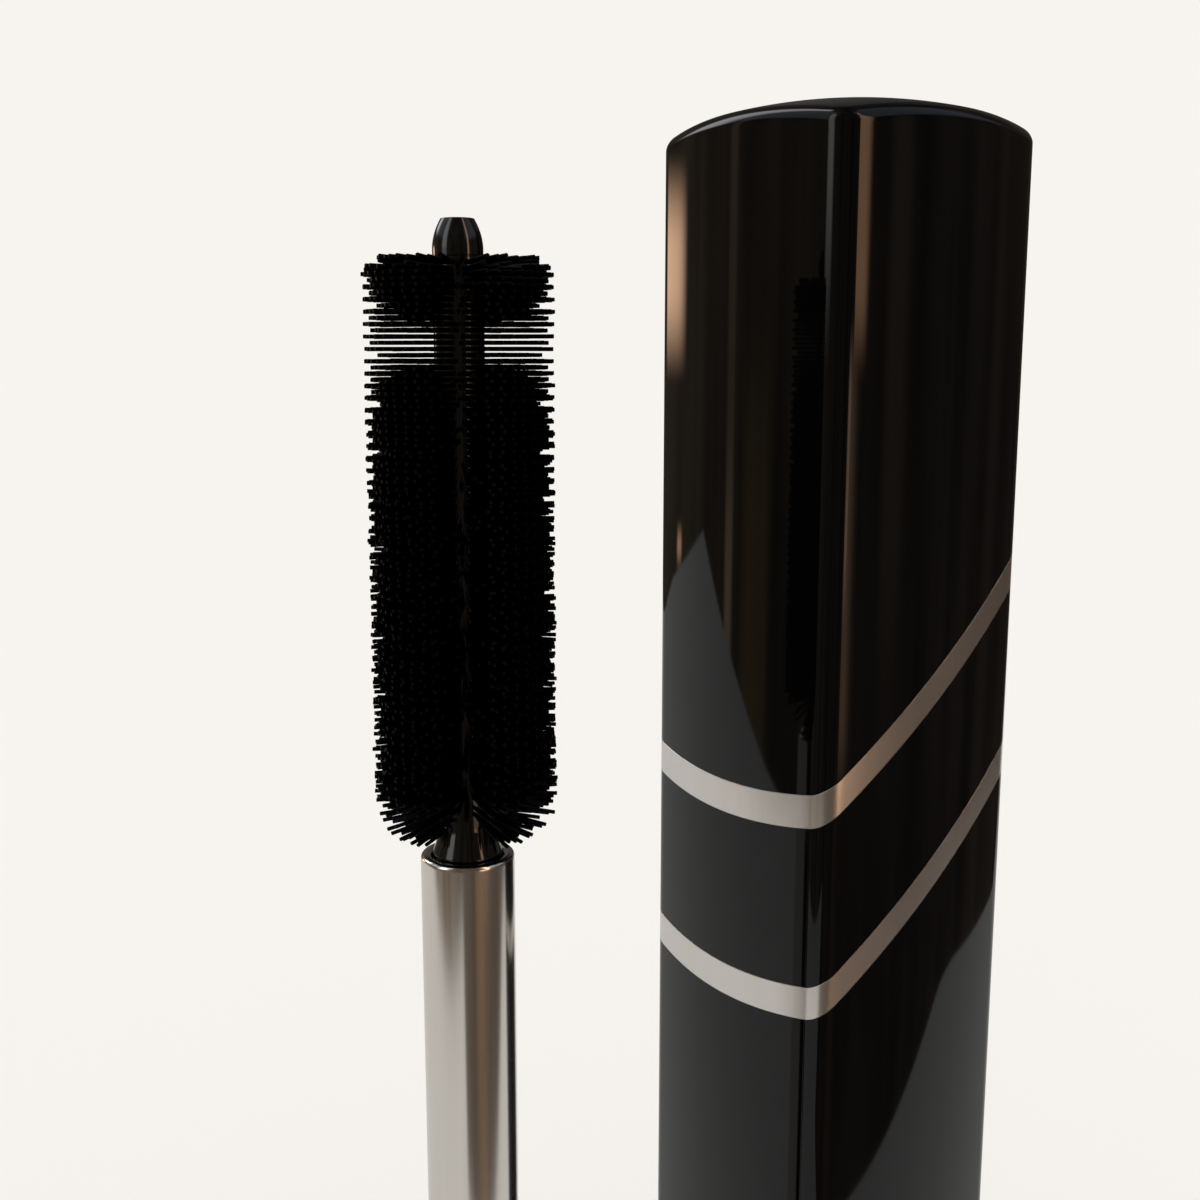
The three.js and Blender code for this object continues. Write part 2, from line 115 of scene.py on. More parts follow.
# Meshes
@dataclass
class Sketch:
    """Collects grids of points with their faces, and makes one mesh of them.

    Attributes:
        points: blocks of vertices in millimetres.
        faces: blocks of vertex numbers, a row for each face.
    """

    points: list[np.ndarray] = field(default_factory=list)
    faces: list[np.ndarray] = field(default_factory=list)

    def _add(self, points: np.ndarray) -> int:
        """Adds a block of vertices and returns the number of its first one."""
        first = sum(len(block) for block in self.points)
        self.points.append(points.reshape(-1, 3))
        return first

    def grid(self, points: np.ndarray, ring: bool = False, start: bool = False, end: bool = False) -> None:
        """Adds a surface that closes on itself along its columns.

        Each face joins two neighbouring points of a row with those of the next row. Its outward side is the
        cross product of the column direction and the row direction.

        Args:
            points: vertices as rows, columns and coordinates.
            ring: joins the last row to the first.
            start: draws the first row together into one point.
            end: draws the last row together into one point.
        """
        rows, columns = points.shape[:2]
        first = self._add(points)
        number = first + np.arange(rows * columns).reshape(rows, columns)
        lower = number if ring else number[:-1]
        upper = np.roll(number, -1, axis=0) if ring else number[1:]
        if start:
            self._fan(points[0], number[1], True)
            lower, upper = lower[1:], upper[1:]
        if end:
            self._fan(points[-1], number[-2], False)
            lower, upper = lower[:-1], upper[:-1]
        quads = np.stack([lower, np.roll(lower, -1, 1), np.roll(upper, -1, 1), upper], axis=-1)
        self.faces.append(quads.reshape(-1, 4))

    def _fan(self, rim: np.ndarray, row: np.ndarray, below: bool) -> None:
        """Closes a row with triangles to the middle of a rim.

        Args:
            rim: points whose mean is the pole.
            row: vertex numbers of the row that is closed.
            below: the pole comes before the row in the direction of the rows.
        """
        pole = np.full(len(row), self._add(rim.mean(axis=0)[None]))
        after = np.roll(row, -1)
        sides = [pole, after, row] if below else [row, after, pole]
        self.faces.append(np.stack(sides, axis=-1))

    def strands(self, points: np.ndarray) -> None:
        """Adds many closed strands of the same build.

        Args:
            points: vertices as strand, ring along it, side and coordinates.
        """
        count, rings, sides = points.shape[:3]
        first = self._add(points)
        number = first + np.arange(count * rings * sides).reshape(count, rings, sides)
        lower, upper = number[:, :-1], number[:, 1:]
        quads = np.stack([lower, np.roll(lower, -1, 2), np.roll(upper, -1, 2), upper], axis=-1)
        self.faces.append(quads.reshape(-1, 4))
        self.faces.append(number[:, 0, ::-1])
        self.faces.append(number[:, -1])

    def build(self, name: str, smooth: bool = True) -> bpy.types.Object:
        """Makes the mesh and its object, at the origin.

        Args:
            name: name of both.
            smooth: shades smooth up to the sharp angle.

        Returns:
            The object, in the scene.
        """
        vertices = np.concatenate(self.points) * MM
        loops = np.concatenate([block.ravel() for block in self.faces])
        sizes = np.concatenate([np.full(len(block), block.shape[1]) for block in self.faces])
        used, loops = np.unique(loops, return_inverse=True)
        vertices = vertices[used]
        mesh = bpy.data.meshes.new(name)
        mesh.vertices.add(len(vertices))
        mesh.vertices.foreach_set("co", vertices.ravel())
        mesh.loops.add(len(loops))
        mesh.loops.foreach_set("vertex_index", loops.ravel().astype(np.int32))
        mesh.polygons.add(len(sizes))
        mesh.polygons.foreach_set("loop_start", (np.cumsum(sizes) - sizes).astype(np.int32))
        mesh.polygons.foreach_set("loop_total", sizes.astype(np.int32))
        mesh.update(calc_edges=True)
        mesh.validate()
        if smooth:
            mesh.shade_smooth()
            mesh.set_sharp_from_angle(angle=SHARP_ANGLE)
        made = bpy.data.objects.new(name, mesh)
        bpy.context.scene.collection.objects.link(made)
        return made


@dataclass(frozen=True)
class Corner:
    """A corner of a profile, from the axis outwards and from the ground up.

    Attributes:
        reach: distance from the axis, or the half width where the section is square.
        height: height above the ground.
        fillet: radius that rounds the corner.
        roundness: 0 follows the square section and 1 a circle.
        lean: 1 tilts the row with the bands and 0 leaves it level.
        crown: 1 lowers the row with the dome and 0 leaves it level.
    """

    reach: float
    height: float
    fillet: float = 0.0
    roundness: float = 0.0
    lean: float = 0.0
    crown: float = 0.0

    @property
    def point(self) -> np.ndarray:
        """The corner as reach and height."""
        return np.array([self.reach, self.height])


def turned(*corners: tuple[float, ...]) -> list[Corner]:
    """Makes the corners of a piece turned on a lathe from reach, height and fillet."""
    return [Corner(*values, roundness=1.0) for values in corners]


def profile(corners: Sequence[Corner], steps: int = 6) -> np.ndarray:
    """Works out the rows of a profile, with its fillets.

    Where two sides leave a corner at an angle, the fillet touches both at its radius over the tangent of half
    that angle, and its centre lies between them at its radius over the sine of half that angle. One more row
    a little outside each end of the arc keeps the flat sides evenly shaded.

    Args:
        corners: the corners in order, with the solid on the left.
        steps: steps in each fillet.

    Returns:
        Rows of reach, height, roundness, lean and crown.
    """
    rows: list[np.ndarray] = []
    for i, corner in enumerate(corners):
        if corner.fillet == 0:
            line = corner.point[None]
        else:
            follows = corners[(i + 1) % len(corners)]
            line = _arc(corners[i - 1].point, corner, follows.point, steps)
        extra = np.tile([corner.roundness, corner.lean, corner.crown], (len(line), 1))
        rows.append(np.hstack([line, extra]))
    return np.concatenate(rows)


def _arc(before: np.ndarray, corner: Corner, after: np.ndarray, steps: int) -> np.ndarray:
    """The fillet of one corner, between two points outside it."""
    here, radius = corner.point, corner.fillet
    back = (before - here) / np.linalg.norm(before - here)
    ahead = (after - here) / np.linalg.norm(after - here)
    half = math.acos(float(np.clip(back @ ahead, -1, 1))) / 2
    touch = radius / math.tan(half)
    centre = here + (back + ahead) / np.linalg.norm(back + ahead) * radius / math.sin(half)
    start = here + back * touch - centre
    turn = np.sign(back[0] * ahead[1] - back[1] * ahead[0]) * -1
    angle = np.linspace(0, math.pi - 2 * half, steps + 1) * turn
    swept = np.stack(
        [
            start[0] * np.cos(angle) - start[1] * np.sin(angle),
            start[0] * np.sin(angle) + start[1] * np.cos(angle),
        ],
        axis=-1,
    )
    margin = touch + radius / 4
    return np.vstack([here + back * margin, centre + swept, here + ahead * margin])


@dataclass(frozen=True)
class RoundSection:
    """A circle in plan.

    Attributes:
        columns: points round it.
    """

    columns: int = 120

    def place(self, reach: np.ndarray, roundness: np.ndarray) -> np.ndarray:
        """Plan of each row as complex numbers: the reach times a unit circle.

        Args:
            reach: radius of each row.
            roundness: not used by a circle.

        Returns:
            Rows by columns.
        """
        angle = np.linspace(0, 2 * math.pi, self.columns, endpoint=False)
        return reach[:, None] * np.exp(1j * angle)[None]


@dataclass(frozen=True)
class CaseSection:
    """The plan of the case: a square whose sides bulge as arcs and whose corners are arcs.

    Attributes:
        half_width: from the axis to the middle of a side.
        side_radius: radius of a bulged side.
        corner_radius: radius of a corner.
        side_steps: points along a side.
        corner_steps: points round a corner.
        offset_limit: rows this far inside keep an even distance from the outline, and others shrink with it.
    """

    half_width: float
    side_radius: float = 26.7
    corner_radius: float = 1.4
    side_steps: int = 44
    corner_steps: int = 22
    offset_limit: float = 1.2

    def outline(self) -> tuple[np.ndarray, np.ndarray]:
        """Points and outward normals of the outline, as complex numbers, anticlockwise.

        A side's arc has its centre on the axis through its middle. A corner's arc has its centre on the
        diagonal, where its distance from the side's centre is the difference of the two radii, so that the
        arcs meet smoothly. The first quarter is worked out and turned three times by a right angle.
        """
        side_centre = self.half_width - self.side_radius
        reach = self.side_radius - self.corner_radius
        corner_centre = (side_centre + math.sqrt(2 * reach**2 - side_centre**2)) / 2
        meet = math.atan2(corner_centre, corner_centre - side_centre)
        side = np.linspace(-meet, meet, self.side_steps, endpoint=False)
        corner = np.linspace(meet, math.pi / 2 - meet, self.corner_steps, endpoint=False)
        side_arc = side_centre + self.side_radius * np.exp(1j * side)
        corner_arc = corner_centre * (1 + 1j) + self.corner_radius * np.exp(1j * corner)
        quarter = np.concatenate([side_arc, corner_arc])
        normal = np.exp(1j * np.concatenate([side, corner]))
        turns = 1j ** np.arange(4)[:, None]
        return (turns * quarter).ravel(), (turns * normal).ravel()

    def place(self, reach: np.ndarray, roundness: np.ndarray) -> np.ndarray:
        """Plan of each row: the outline moved inwards along its normals, then shrunk, or a circle.

        Args:
            reach: half width, or radius, of each row.
            roundness: 0 for the outline and 1 for a circle.

        Returns:
            Rows by columns, as complex numbers.
        """
        points, normals = self.outline()
        inset = np.clip(self.half_width - reach, 0, self.offset_limit)[:, None]
        shrink = reach[:, None] / (self.half_width - inset)
        square = shrink * (points - inset * normals)
        circle = reach[:, None] * points / np.abs(points)
        share = roundness[:, None]
        return (1 - share) * square + share * circle


@dataclass(frozen=True)
class Thread:
    """A round screw thread.

    Attributes:
        start: height of its first end.
        pitch: rise in one turn.
        turns: turns from end to end.
        height: how far it stands out.
        half_width: half its width at its foot.
        run_out: share of a turn over which an end rises.
    """

    start: float
    pitch: float = 2.8
    turns: float = 1.5
    height: float = 0.5
    half_width: float = 0.52
    run_out: float = 0.07

    def ridge(self, angle: np.ndarray, height: np.ndarray) -> np.ndarray:
        """How far the thread stands out at each point of a cylinder.

        A point's height above the start in pitches, less its angle in turns, rounds to the turn beside it.
        Its distance from the middle of that turn gives a half circle, and both ends fade over the run out.

        Args:
            angle: angle of each point.
            height: height of each point.

        Returns:
            The distances.
        """
        turn = np.mod(angle, 2 * math.pi) / (2 * math.pi)
        rise = (height - self.start) / self.pitch
        along = np.round(rise - turn) + turn
        away = (rise - along) * self.pitch / self.half_width
        bump = np.sqrt(np.clip(1 - away**2, 0, 1))
        fade = np.clip(along / self.run_out, 0, 1) * np.clip((self.turns - along) / self.run_out, 0, 1)
        return self.height * bump * fade * fade * (3 - 2 * fade)


def carry(
    rows: np.ndarray,
    section: RoundSection | CaseSection,
    axis_x: float,
    tilt: float = 0.0,
    dome_radius: float = 100.0,
    thread: Thread | None = None,
    bore: bool = False,
) -> np.ndarray:
    """Carries a profile round a section.

    The height of a leaning row changes with X by the tangent of the tilt. A crowned row falls as a sphere
    does: by its radius less the root of its radius squared less the distance from the axis squared. A thread
    moves the points of its own wall outwards, or inwards in a bore.

    Args:
        rows: reach, height, roundness, lean and crown of each row.
        section: the plan that it is carried round.
        axis_x: where the upright axis stands on X.
        tilt: tilt of the leaning rows, in degrees.
        dome_radius: radius of the sphere that the crowned rows follow.
        thread: a thread on the rows whose lean is negative.
        bore: the thread points inwards.

    Returns:
        Points as rows, columns and coordinates.
    """
    plan = section.place(rows[:, 0], rows[:, 2])
    lean = np.clip(rows[:, 3], 0, 1)[:, None]
    fall = dome_radius - np.sqrt(dome_radius**2 - np.abs(plan) ** 2 * rows[:, 4][:, None])
    height = rows[:, 1][:, None] + lean * math.tan(math.radians(tilt)) * plan.real - fall
    if thread is not None:
        ridge = thread.ridge(np.angle(plan), height) * (rows[:, 3] < 0)[:, None]
        plan = plan * (1 + (-1 if bore else 1) * ridge / np.abs(rows[:, 0])[:, None].clip(1e-6))
    return np.stack([plan.real + axis_x, plan.imag, height], axis=-1)


def solid(name: str, corners: Sequence[Corner], *place: Any, steps: int = 6, **form: Any) -> bpy.types.Object:
    """Makes a solid that runs from the axis to the axis.

    Args:
        name: name of the piece.
        corners: its profile, which starts and ends on the axis.
        place: section and axis_x, as carry takes them.
        steps: steps in each fillet.
        form: what else carry takes.

    Returns:
        The piece.
    """
    sketch = Sketch()
    sketch.grid(carry(profile(corners, steps=steps), *place, **form), start=True, end=True)
    return sketch.build(name)


def hoop(name: str, corners: Sequence[Corner], *place: Any, steps: int = 6, **form: Any) -> bpy.types.Object:
    """Makes a closed ring round the axis, from a closed profile. It takes what solid takes."""
    sketch = Sketch()
    sketch.grid(carry(profile(corners, steps=steps), *place, **form), ring=True)
    return sketch.build(name)


def wall(reach: float, start: float, end: float, spacing: float = 0.12) -> list[Corner]:
    """An upright wall in rows close enough to carry a thread."""
    count = int(abs(end - start) / spacing)
    return [Corner(reach, height, 0, 1, -1) for height in np.linspace(start, end, count)]


# Shader maths
class Value:
    """A number that varies over a surface. Arithmetic on it adds Math nodes."""

    def __init__(self, bench: Bench, socket: bpy.types.NodeSocket) -> None:
        """Wraps an output socket of the bench's node tree."""
        self.bench = bench
        self.socket = socket

    def _math(self, operation: str, *terms: Any) -> Value:
        """Adds one Math node with this operation and these terms."""
        return self.bench.value("ShaderNodeMath", {"operation": operation}, dict(enumerate(terms)))

    def __add__(self, other: Any) -> Value:
        """Sum."""
        return self._math("ADD", self, other)

    __radd__ = __add__

    def __mul__(self, other: Any) -> Value:
        """Product."""
        return self._math("MULTIPLY", self, other)

    __rmul__ = __mul__

    def __sub__(self, other: Any) -> Value:
        """Difference."""
        return self._math("SUBTRACT", self, other)

    def __rsub__(self, other: Any) -> Value:
        """Difference from a number."""
        return self._math("SUBTRACT", other, self)

    def __truediv__(self, other: Any) -> Value:
        """Quotient."""
        return self._math("DIVIDE", self, other)

    def __pow__(self, other: Any) -> Value:
        """Power."""
        return self._math("POWER", self, other)

    def size(self) -> Value:
        """The number without its sign."""
        return self._math("ABSOLUTE", self)

    def wave(self) -> Value:
        """Sine of an angle in radians."""
        return self._math("SINE", self)

    def ramp(self, low: float, high: float) -> Value:
        """0 up to low, 1 from high, and a smooth rise between them."""
        settings = {"interpolation_type": "SMOOTHSTEP"}
        return self.bench.value("ShaderNodeMapRange", settings, {"Value": self, 1: low, 2: high})


class Bench:
    """The node tree of a material or of the world."""

    def __init__(self, tree: bpy.types.NodeTree) -> None:
        """Clears the tree."""
        self.tree = tree
        tree.nodes.clear()

    def node(self, kind: str, settings: dict[str, Any], inputs: dict[Any, Any]) -> bpy.types.Node:
        """Adds a node.

        Args:
            kind: node type.
            settings: its properties, set first.
            inputs: a value, a link or a Value for each socket, by name or number.

        Returns:
            The node.
        """
        made = self.tree.nodes.new(kind)
        for name, setting in settings.items():
            setattr(made, name, setting)
        for key, given in inputs.items():
            source = given.socket if isinstance(given, Value) else given
            if isinstance(source, bpy.types.NodeSocket):
                self.tree.links.new(source, made.inputs[key])
            else:
                made.inputs[key].default_value = source
        return made

    def value(self, kind: str, settings: dict[str, Any], inputs: dict[Any, Any], output: Any = 0) -> Value:
        """Adds a node and wraps one of its outputs."""
        return Value(self, self.node(kind, settings, inputs).outputs[output])

    def parts(self, vector: Value) -> list[Value]:
        """The three parts of a vector."""
        split = self.node("ShaderNodeSeparateXYZ", {}, {0: vector})
        return [Value(self, socket) for socket in split.outputs]

    def vector(self, operation: str, first: Any, second: Any = (0, 0, 0), output: Any = 0) -> Value:
        """Adds one Vector Math node."""
        settings = {"operation": operation}
        return self.value("ShaderNodeVectorMath", settings, {0: first, 1: second}, output)

    def place(self, stretch: tuple[float, float, float] = (1, 1, 1)) -> Value:
        """Object coordinates, with a factor along each axis."""
        here = self.value("ShaderNodeTexCoord", {}, {}, "Object")
        return self.vector("MULTIPLY", here, stretch)

    def noise(self, where: Value, size: float, detail: float = 2.0) -> Value:
        """Smooth noise from 0 to 1.

        Args:
            where: coordinates.
            size: size of its features in millimetres.
            detail: octaves.

        Returns:
            The noise.
        """
        inputs = {"Vector": where, "Scale": 1 / (size * MM), "Detail": detail, "Roughness": 0.5}
        return self.value("ShaderNodeTexNoise", {}, inputs)

    def blend(self, share: Any, first: Any, second: Any, mode: str = "MIX") -> Value:
        """Mixes two colours."""
        settings = {"data_type": "RGBA", "blend_type": mode}
        return self.value("ShaderNodeMix", settings, {0: share, 6: first, 7: second}, 2)

    def bump(self, height: Value, depth: float, strength: float = 1.0) -> Value:
        """A normal that follows a height map.

        Args:
            height: the map, from 0 to 1.
            depth: how deep it is, in millimetres.
            strength: share of it that shows.

        Returns:
            The normal.
        """
        inputs = {"Strength": strength, "Distance": depth * MM, "Height": height}
        return self.value("ShaderNodeBump", {}, inputs)


def rgba(colour: Colour) -> tuple[float, float, float, float]:
    """The colour with full opacity."""
    return (*colour, 1.0)


def stage_paint(name: str) -> tuple[bpy.types.Material, Bench]:
    """A new material for a stage piece, and its empty node tree."""
    made = bpy.data.materials.new(name)
    made.use_nodes = True
    return made, Bench(made.node_tree)


# Finishes
@dataclass(frozen=True)
class Finish:
    """What all finishes share.

    Attributes:
        slot: name that the material takes, with _finish after it.
        colour: main colour.
        shade: second colour, reached where the surface varies most.
        roughness: least roughness.
        spread: how much the roughness varies.
    """

    slot: str
    colour: Colour
    shade: Colour
    roughness: float
    spread: float

    def constants(self) -> dict[str, Any]:
        """Values of the shader's own sockets."""
        return {"IOR": 1.5}

    def pattern(self, bench: Bench) -> tuple[Value, Value]:
        """What varies over the surface.

        Args:
            bench: the material's node tree.

        Returns:
            A mask for the colour and roughness, and the normal.
        """
        raise NotImplementedError

    def material(self) -> bpy.types.Material:
        """Makes the material, once."""
        name = f"{self.slot}_finish"
        known = bpy.data.materials.get(name)
        if known is not None:
            return known
        made = bpy.data.materials.new(name)
        made.use_nodes = True
        bench = Bench(made.node_tree)
        mask, normal = self.pattern(bench)
        inputs = {
            **self.constants(),
            "Base Color": bench.blend(mask, rgba(self.colour), rgba(self.shade)),
            "Roughness": mask * self.spread + self.roughness,
            "Normal": normal,
        }
        shader = bench.node("ShaderNodeBsdfPrincipled", {}, inputs)
        bench.node("ShaderNodeOutputMaterial", {}, {"Surface": shader.outputs[0]})
        return made


@dataclass(frozen=True)
class Lacquer(Finish):
    """Poured black lacquer with a mirror gloss and the faint swell of its flow.

    Attributes:
        swell: length of the swell.
        swell_depth: its depth.
    """

    swell: float = 9.0
    swell_depth: float = 0.012

    def constants(self) -> dict[str, Any]:
        """A thin clear coat over black."""
        return {"IOR": 1.35}

    def pattern(self, bench: Bench) -> tuple[Value, Value]:
        """Slow noise for the gloss, and a slower one for the swell."""
        where = bench.place()
        flow = bench.noise(bench.place((1, 1, 0.4)), self.swell, 1.0)
        return bench.noise(where, 1.8, 3.0), bench.bump(flow, self.swell_depth)


@dataclass(frozen=True)
class DrawnMetal(Finish):
    """Satin anodised metal with fine lines along its length.

    Attributes:
        line: width of a line.
        stretch: how much longer than wide the lines are.
        depth: their depth.
    """

    line: float = 0.16
    stretch: float = 60.0
    depth: float = 0.0006

    def constants(self) -> dict[str, Any]:
        """Metal."""
        return {"Metallic": 1.0}

    def pattern(self, bench: Bench) -> tuple[Value, Value]:
        """Noise drawn out along Z, with a soft cloud over it."""
        lines = bench.noise(bench.place((1, 1, 1 / self.stretch)), self.line, 2.0)
        cloud = bench.noise(bench.place((1, 1, 0.3)), 2.5, 2.0)
        return lines * 0.5 + cloud * 0.5, bench.bump(lines, self.depth)


@dataclass(frozen=True)
class Moulding(Finish):
    """Injection-moulded plastic with the grain of its tool.

    Attributes:
        grain: size of the grain.
        depth: its depth.
        haze: share of light that scatters inside.
    """

    grain: float = 0.12
    depth: float = 0.004
    haze: float = 0.0

    def constants(self) -> dict[str, Any]:
        """Plastic, hazy where it is natural."""
        scatter = {"Subsurface Weight": self.haze, "Subsurface Radius": (1, 1, 1), "Subsurface Scale": MM}
        return {"IOR": 1.49, **(scatter if self.haze else {})}

    def pattern(self, bench: Bench) -> tuple[Value, Value]:
        """Fine noise for the grain, and a slow one for the flow of the melt."""
        where = bench.place()
        grain = bench.noise(where, self.grain, 3.0)
        flow = bench.noise(bench.place((1, 1, 0.5)), 3.0, 2.0)
        return flow * 0.6 + grain * 0.4, bench.bump(grain, self.depth)


@dataclass(frozen=True)
class Foam(Finish):
    """Closed-cell foam or matt rubber.

    Attributes:
        cell: size of a cell.
        depth: depth of a cell.
    """

    cell: float = 0.25
    depth: float = 0.05

    def pattern(self, bench: Bench) -> tuple[Value, Value]:
        """Distance to the nearest cell centre, with a soft cloud over it."""
        where = bench.place()
        cells = bench.value("ShaderNodeTexVoronoi", {}, {"Vector": where, "Scale": 1 / (self.cell * MM)})
        cloud = bench.noise(where, 1.5, 2.0)
        return cells * 0.5 + cloud * 0.5, bench.bump(cells, self.depth)


@dataclass(frozen=True)
class TurnedSteel(Finish):
    """Steel turned on a lathe, with rings on its ends.

    Attributes:
        axis_x: distance of both slugs' axes from the origin, one on each side of it.
        feed: distance between rings.
        depth: depth of the tool marks.
    """

    axis_x: float = 0.0
    feed: float = 0.22
    depth: float = 0.004

    def constants(self) -> dict[str, Any]:
        """Metal."""
        return {"Metallic": 1.0}

    def pattern(self, bench: Bench) -> tuple[Value, Value]:
        """A sine of the distance from the axis plus the height, with a soft cloud over it."""
        x, y, z = bench.parts(bench.place())
        aside = x.size() - self.axis_x * MM
        radius = (aside * aside + y * y) ** 0.5
        marks = ((radius + z) * (2 * math.pi / (self.feed * MM))).wave() * 0.5 + 0.5
        cloud = bench.noise(bench.place(), 1.2, 2.0)
        return marks * 0.4 + cloud * 0.6, bench.bump(marks, self.depth)


@dataclass(frozen=True)
class Bristle(Finish):
    """Soft black elastomer of the bristles."""

    def constants(self) -> dict[str, Any]:
        """A low gloss."""
        return {"IOR": 1.45, "Specular IOR Level": 0.07}

    def pattern(self, bench: Bench) -> tuple[Value, Value]:
        """Noise that tells neighbouring bristles apart, and a finer one on their skin."""
        where = bench.place()
        fine = bench.noise(where, 0.05, 2.0)
        return bench.noise(where, 0.4, 2.0), bench.bump(fine, 0.003)


LACQUER = Lacquer("case_lacquer", (0.0007, 0.0007, 0.0009), (0.001, 0.001, 0.0011), 0.03, 0.025)
BAND_METAL = DrawnMetal("band_metal", (0.76, 0.725, 0.69), (0.70, 0.66, 0.62), 0.2, 0.1)
ROD_METAL = DrawnMetal("rod_metal", (0.76, 0.72, 0.665), (0.70, 0.66, 0.61), 0.13, 0.07)
BLACK_MOULDING = Moulding("black_moulding", (0.016, 0.016, 0.018), (0.024, 0.024, 0.026), 0.26, 0.16)
BOTTLE_MOULDING = Moulding("bottle_moulding", (0.7, 0.72, 0.71), (0.6, 0.62, 0.61), 0.28, 0.14, haze=0.35)
BRUSH_MOULDING = Moulding("brush_moulding", (0.001,) * 3, (0.002,) * 3, 0.05, 0.05, 0.3, 0.001)
WIPER_RUBBER = Foam("wiper_rubber", (0.8, 0.79, 0.75), (0.68, 0.67, 0.62), 0.6, 0.2, 0.12, 0.008)
LINER_FOAM = Foam("liner_foam", (0.82, 0.82, 0.8), (0.66, 0.66, 0.64), 0.75, 0.2)
STEEL_COLOURS = ((0.5, 0.51, 0.52), (0.4, 0.41, 0.42))
WEIGHT_STEEL = TurnedSteel("weight_steel", *STEEL_COLOURS, 0.22, 0.16, axis_x=Box.of("base_weight").axis_x)
BRISTLE = Bristle("bristle", (0.0004, 0.0004, 0.0005), (0.0009, 0.0008, 0.0008), 0.34, 0.16)


def finish_piece(piece: bpy.types.Object, body: Body, look: Finish, *nodes: str) -> None:
    """Gives a piece its finish and its place in the frame.

    Args:
        piece: the new object.
        body: body that it moves with.
        look: its finish.
        nodes: CAD nodes that it stands for.
    """
    piece.data.materials.append(look.material())
    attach(piece, body.value)
    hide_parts(*nodes)
    LOG.info("%s: %d faces, on %s", piece.name, len(piece.data.polygons), body.value)


# Tube
@dataclass
class TubeCase:
    """The tube's lacquered case and its two inlaid bands.

    Attributes:
        wall: thickness of the sides.
        edge_radius: rounding of the rim.
        dome_radius: radius of the domed end.
        band_tilt: tilt of the bands, in degrees.
        band_depth: depth of their grooves.
        seam: gap between a band and its groove.
        edge: rounding of the edges along the seam.
        dome_steps: rows of the dome.
        rim_steps: rows of the rim.
        margin: from a flat side's last row to the fillet or groove beside it.
    """

    wall: float = 0.9
    edge_radius: float = 0.55
    dome_radius: float = 26.7
    band_tilt: float = 39.8
    band_depth: float = 0.3
    seam: float = 0.01
    edge: float = 0.015
    dome_steps: int = 26
    rim_steps: int = 14
    margin: float = 0.3

    def __post_init__(self) -> None:
        """Reads the shell from the frame."""
        self.box = Box.of("tube_shell")
        self.section = CaseSection(self.box.radius)
        self.ceiling = Box.of("base_weight").top + GAP

    def band_edges(self, node: str) -> tuple[float, float]:
        """Heights on the axis of a band's lower and upper edges: its box less the rise across the case."""
        box = Box.of(node)
        rise = math.tan(math.radians(self.band_tilt)) * self.box.radius
        return box.foot + rise, box.top - rise

    def groove(self, node: str) -> list[Corner]:
        """Corners of the groove that a band lies in."""
        low, high = self.band_edges(node)
        outer, floor = self.box.radius, self.box.radius - self.band_depth
        return [
            Corner(outer, low - self.seam - self.margin, 0, 0, 1),
            Corner(outer, low - self.seam, self.edge, 0, 1),
            Corner(floor, low - self.seam, 0.03, 0, 1),
            Corner(floor, high + self.seam, 0.03, 0, 1),
            Corner(outer, high + self.seam, self.edge, 0, 1),
            Corner(outer, high + self.seam + self.margin, 0, 0, 1),
        ]

    def dome(self) -> list[Corner]:
        """The rim's quarter circle, then rows in to the axis, all level before the dome lowers them."""
        centre = self.box.radius - self.edge_radius
        level = self.box.top - self.edge_radius
        turn = np.linspace(0, math.pi / 2, self.rim_steps)
        reaches = [self.box.radius, *(centre + self.edge_radius * np.cos(turn))]
        heights = [level - self.margin / 2, *(level + self.edge_radius * np.sin(turn))]
        reaches.extend(centre * (1 - np.linspace(0.02, 1, self.dome_steps)))
        heights.extend([self.box.top] * self.dome_steps)
        return [Corner(reach, height, crown=1) for reach, height in zip(reaches, heights)]

    def shell(self) -> bpy.types.Object:
        """The case: inside from its ceiling down, then outside up to the top of the dome."""
        outer, inner, foot = self.box.radius, self.box.radius - self.wall, self.box.foot
        corners = [
            Corner(0, self.ceiling),
            Corner(inner, self.ceiling, 0.2),
            Corner(inner, foot, 0.08),
            Corner(outer, foot, 0.15),
            Corner(outer, foot + 1),
            *self.groove("lower_band"),
            *self.groove("upper_band"),
            *self.dome(),
        ]
        place = self.section, self.box.axis_x, self.band_tilt, self.dome_radius
        return solid("tube_case", corners, *place)

    def band(self, node: str) -> bpy.types.Object:
        """A band: a closed ring, flush with the case."""
        low, high = self.band_edges(node)
        outer = self.box.radius
        inner = outer - self.band_depth + self.seam
        corners = [
            Corner(inner, low, 0.03, 0, 1),
            Corner(outer, low, self.edge, 0, 1),
            Corner(outer, high, self.edge, 0, 1),
            Corner(inner, high, 0.03, 0, 1),
        ]
        return hoop(f"{node}_ring", corners, self.section, self.box.axis_x, self.band_tilt)

    def build(self) -> None:
        """Makes and dresses the pieces."""
        finish_piece(self.shell(), Body.TUBE, LACQUER, "tube_shell")
        for node in ("upper_band", "lower_band"):
            finish_piece(self.band(node), Body.TUBE, BAND_METAL, node)


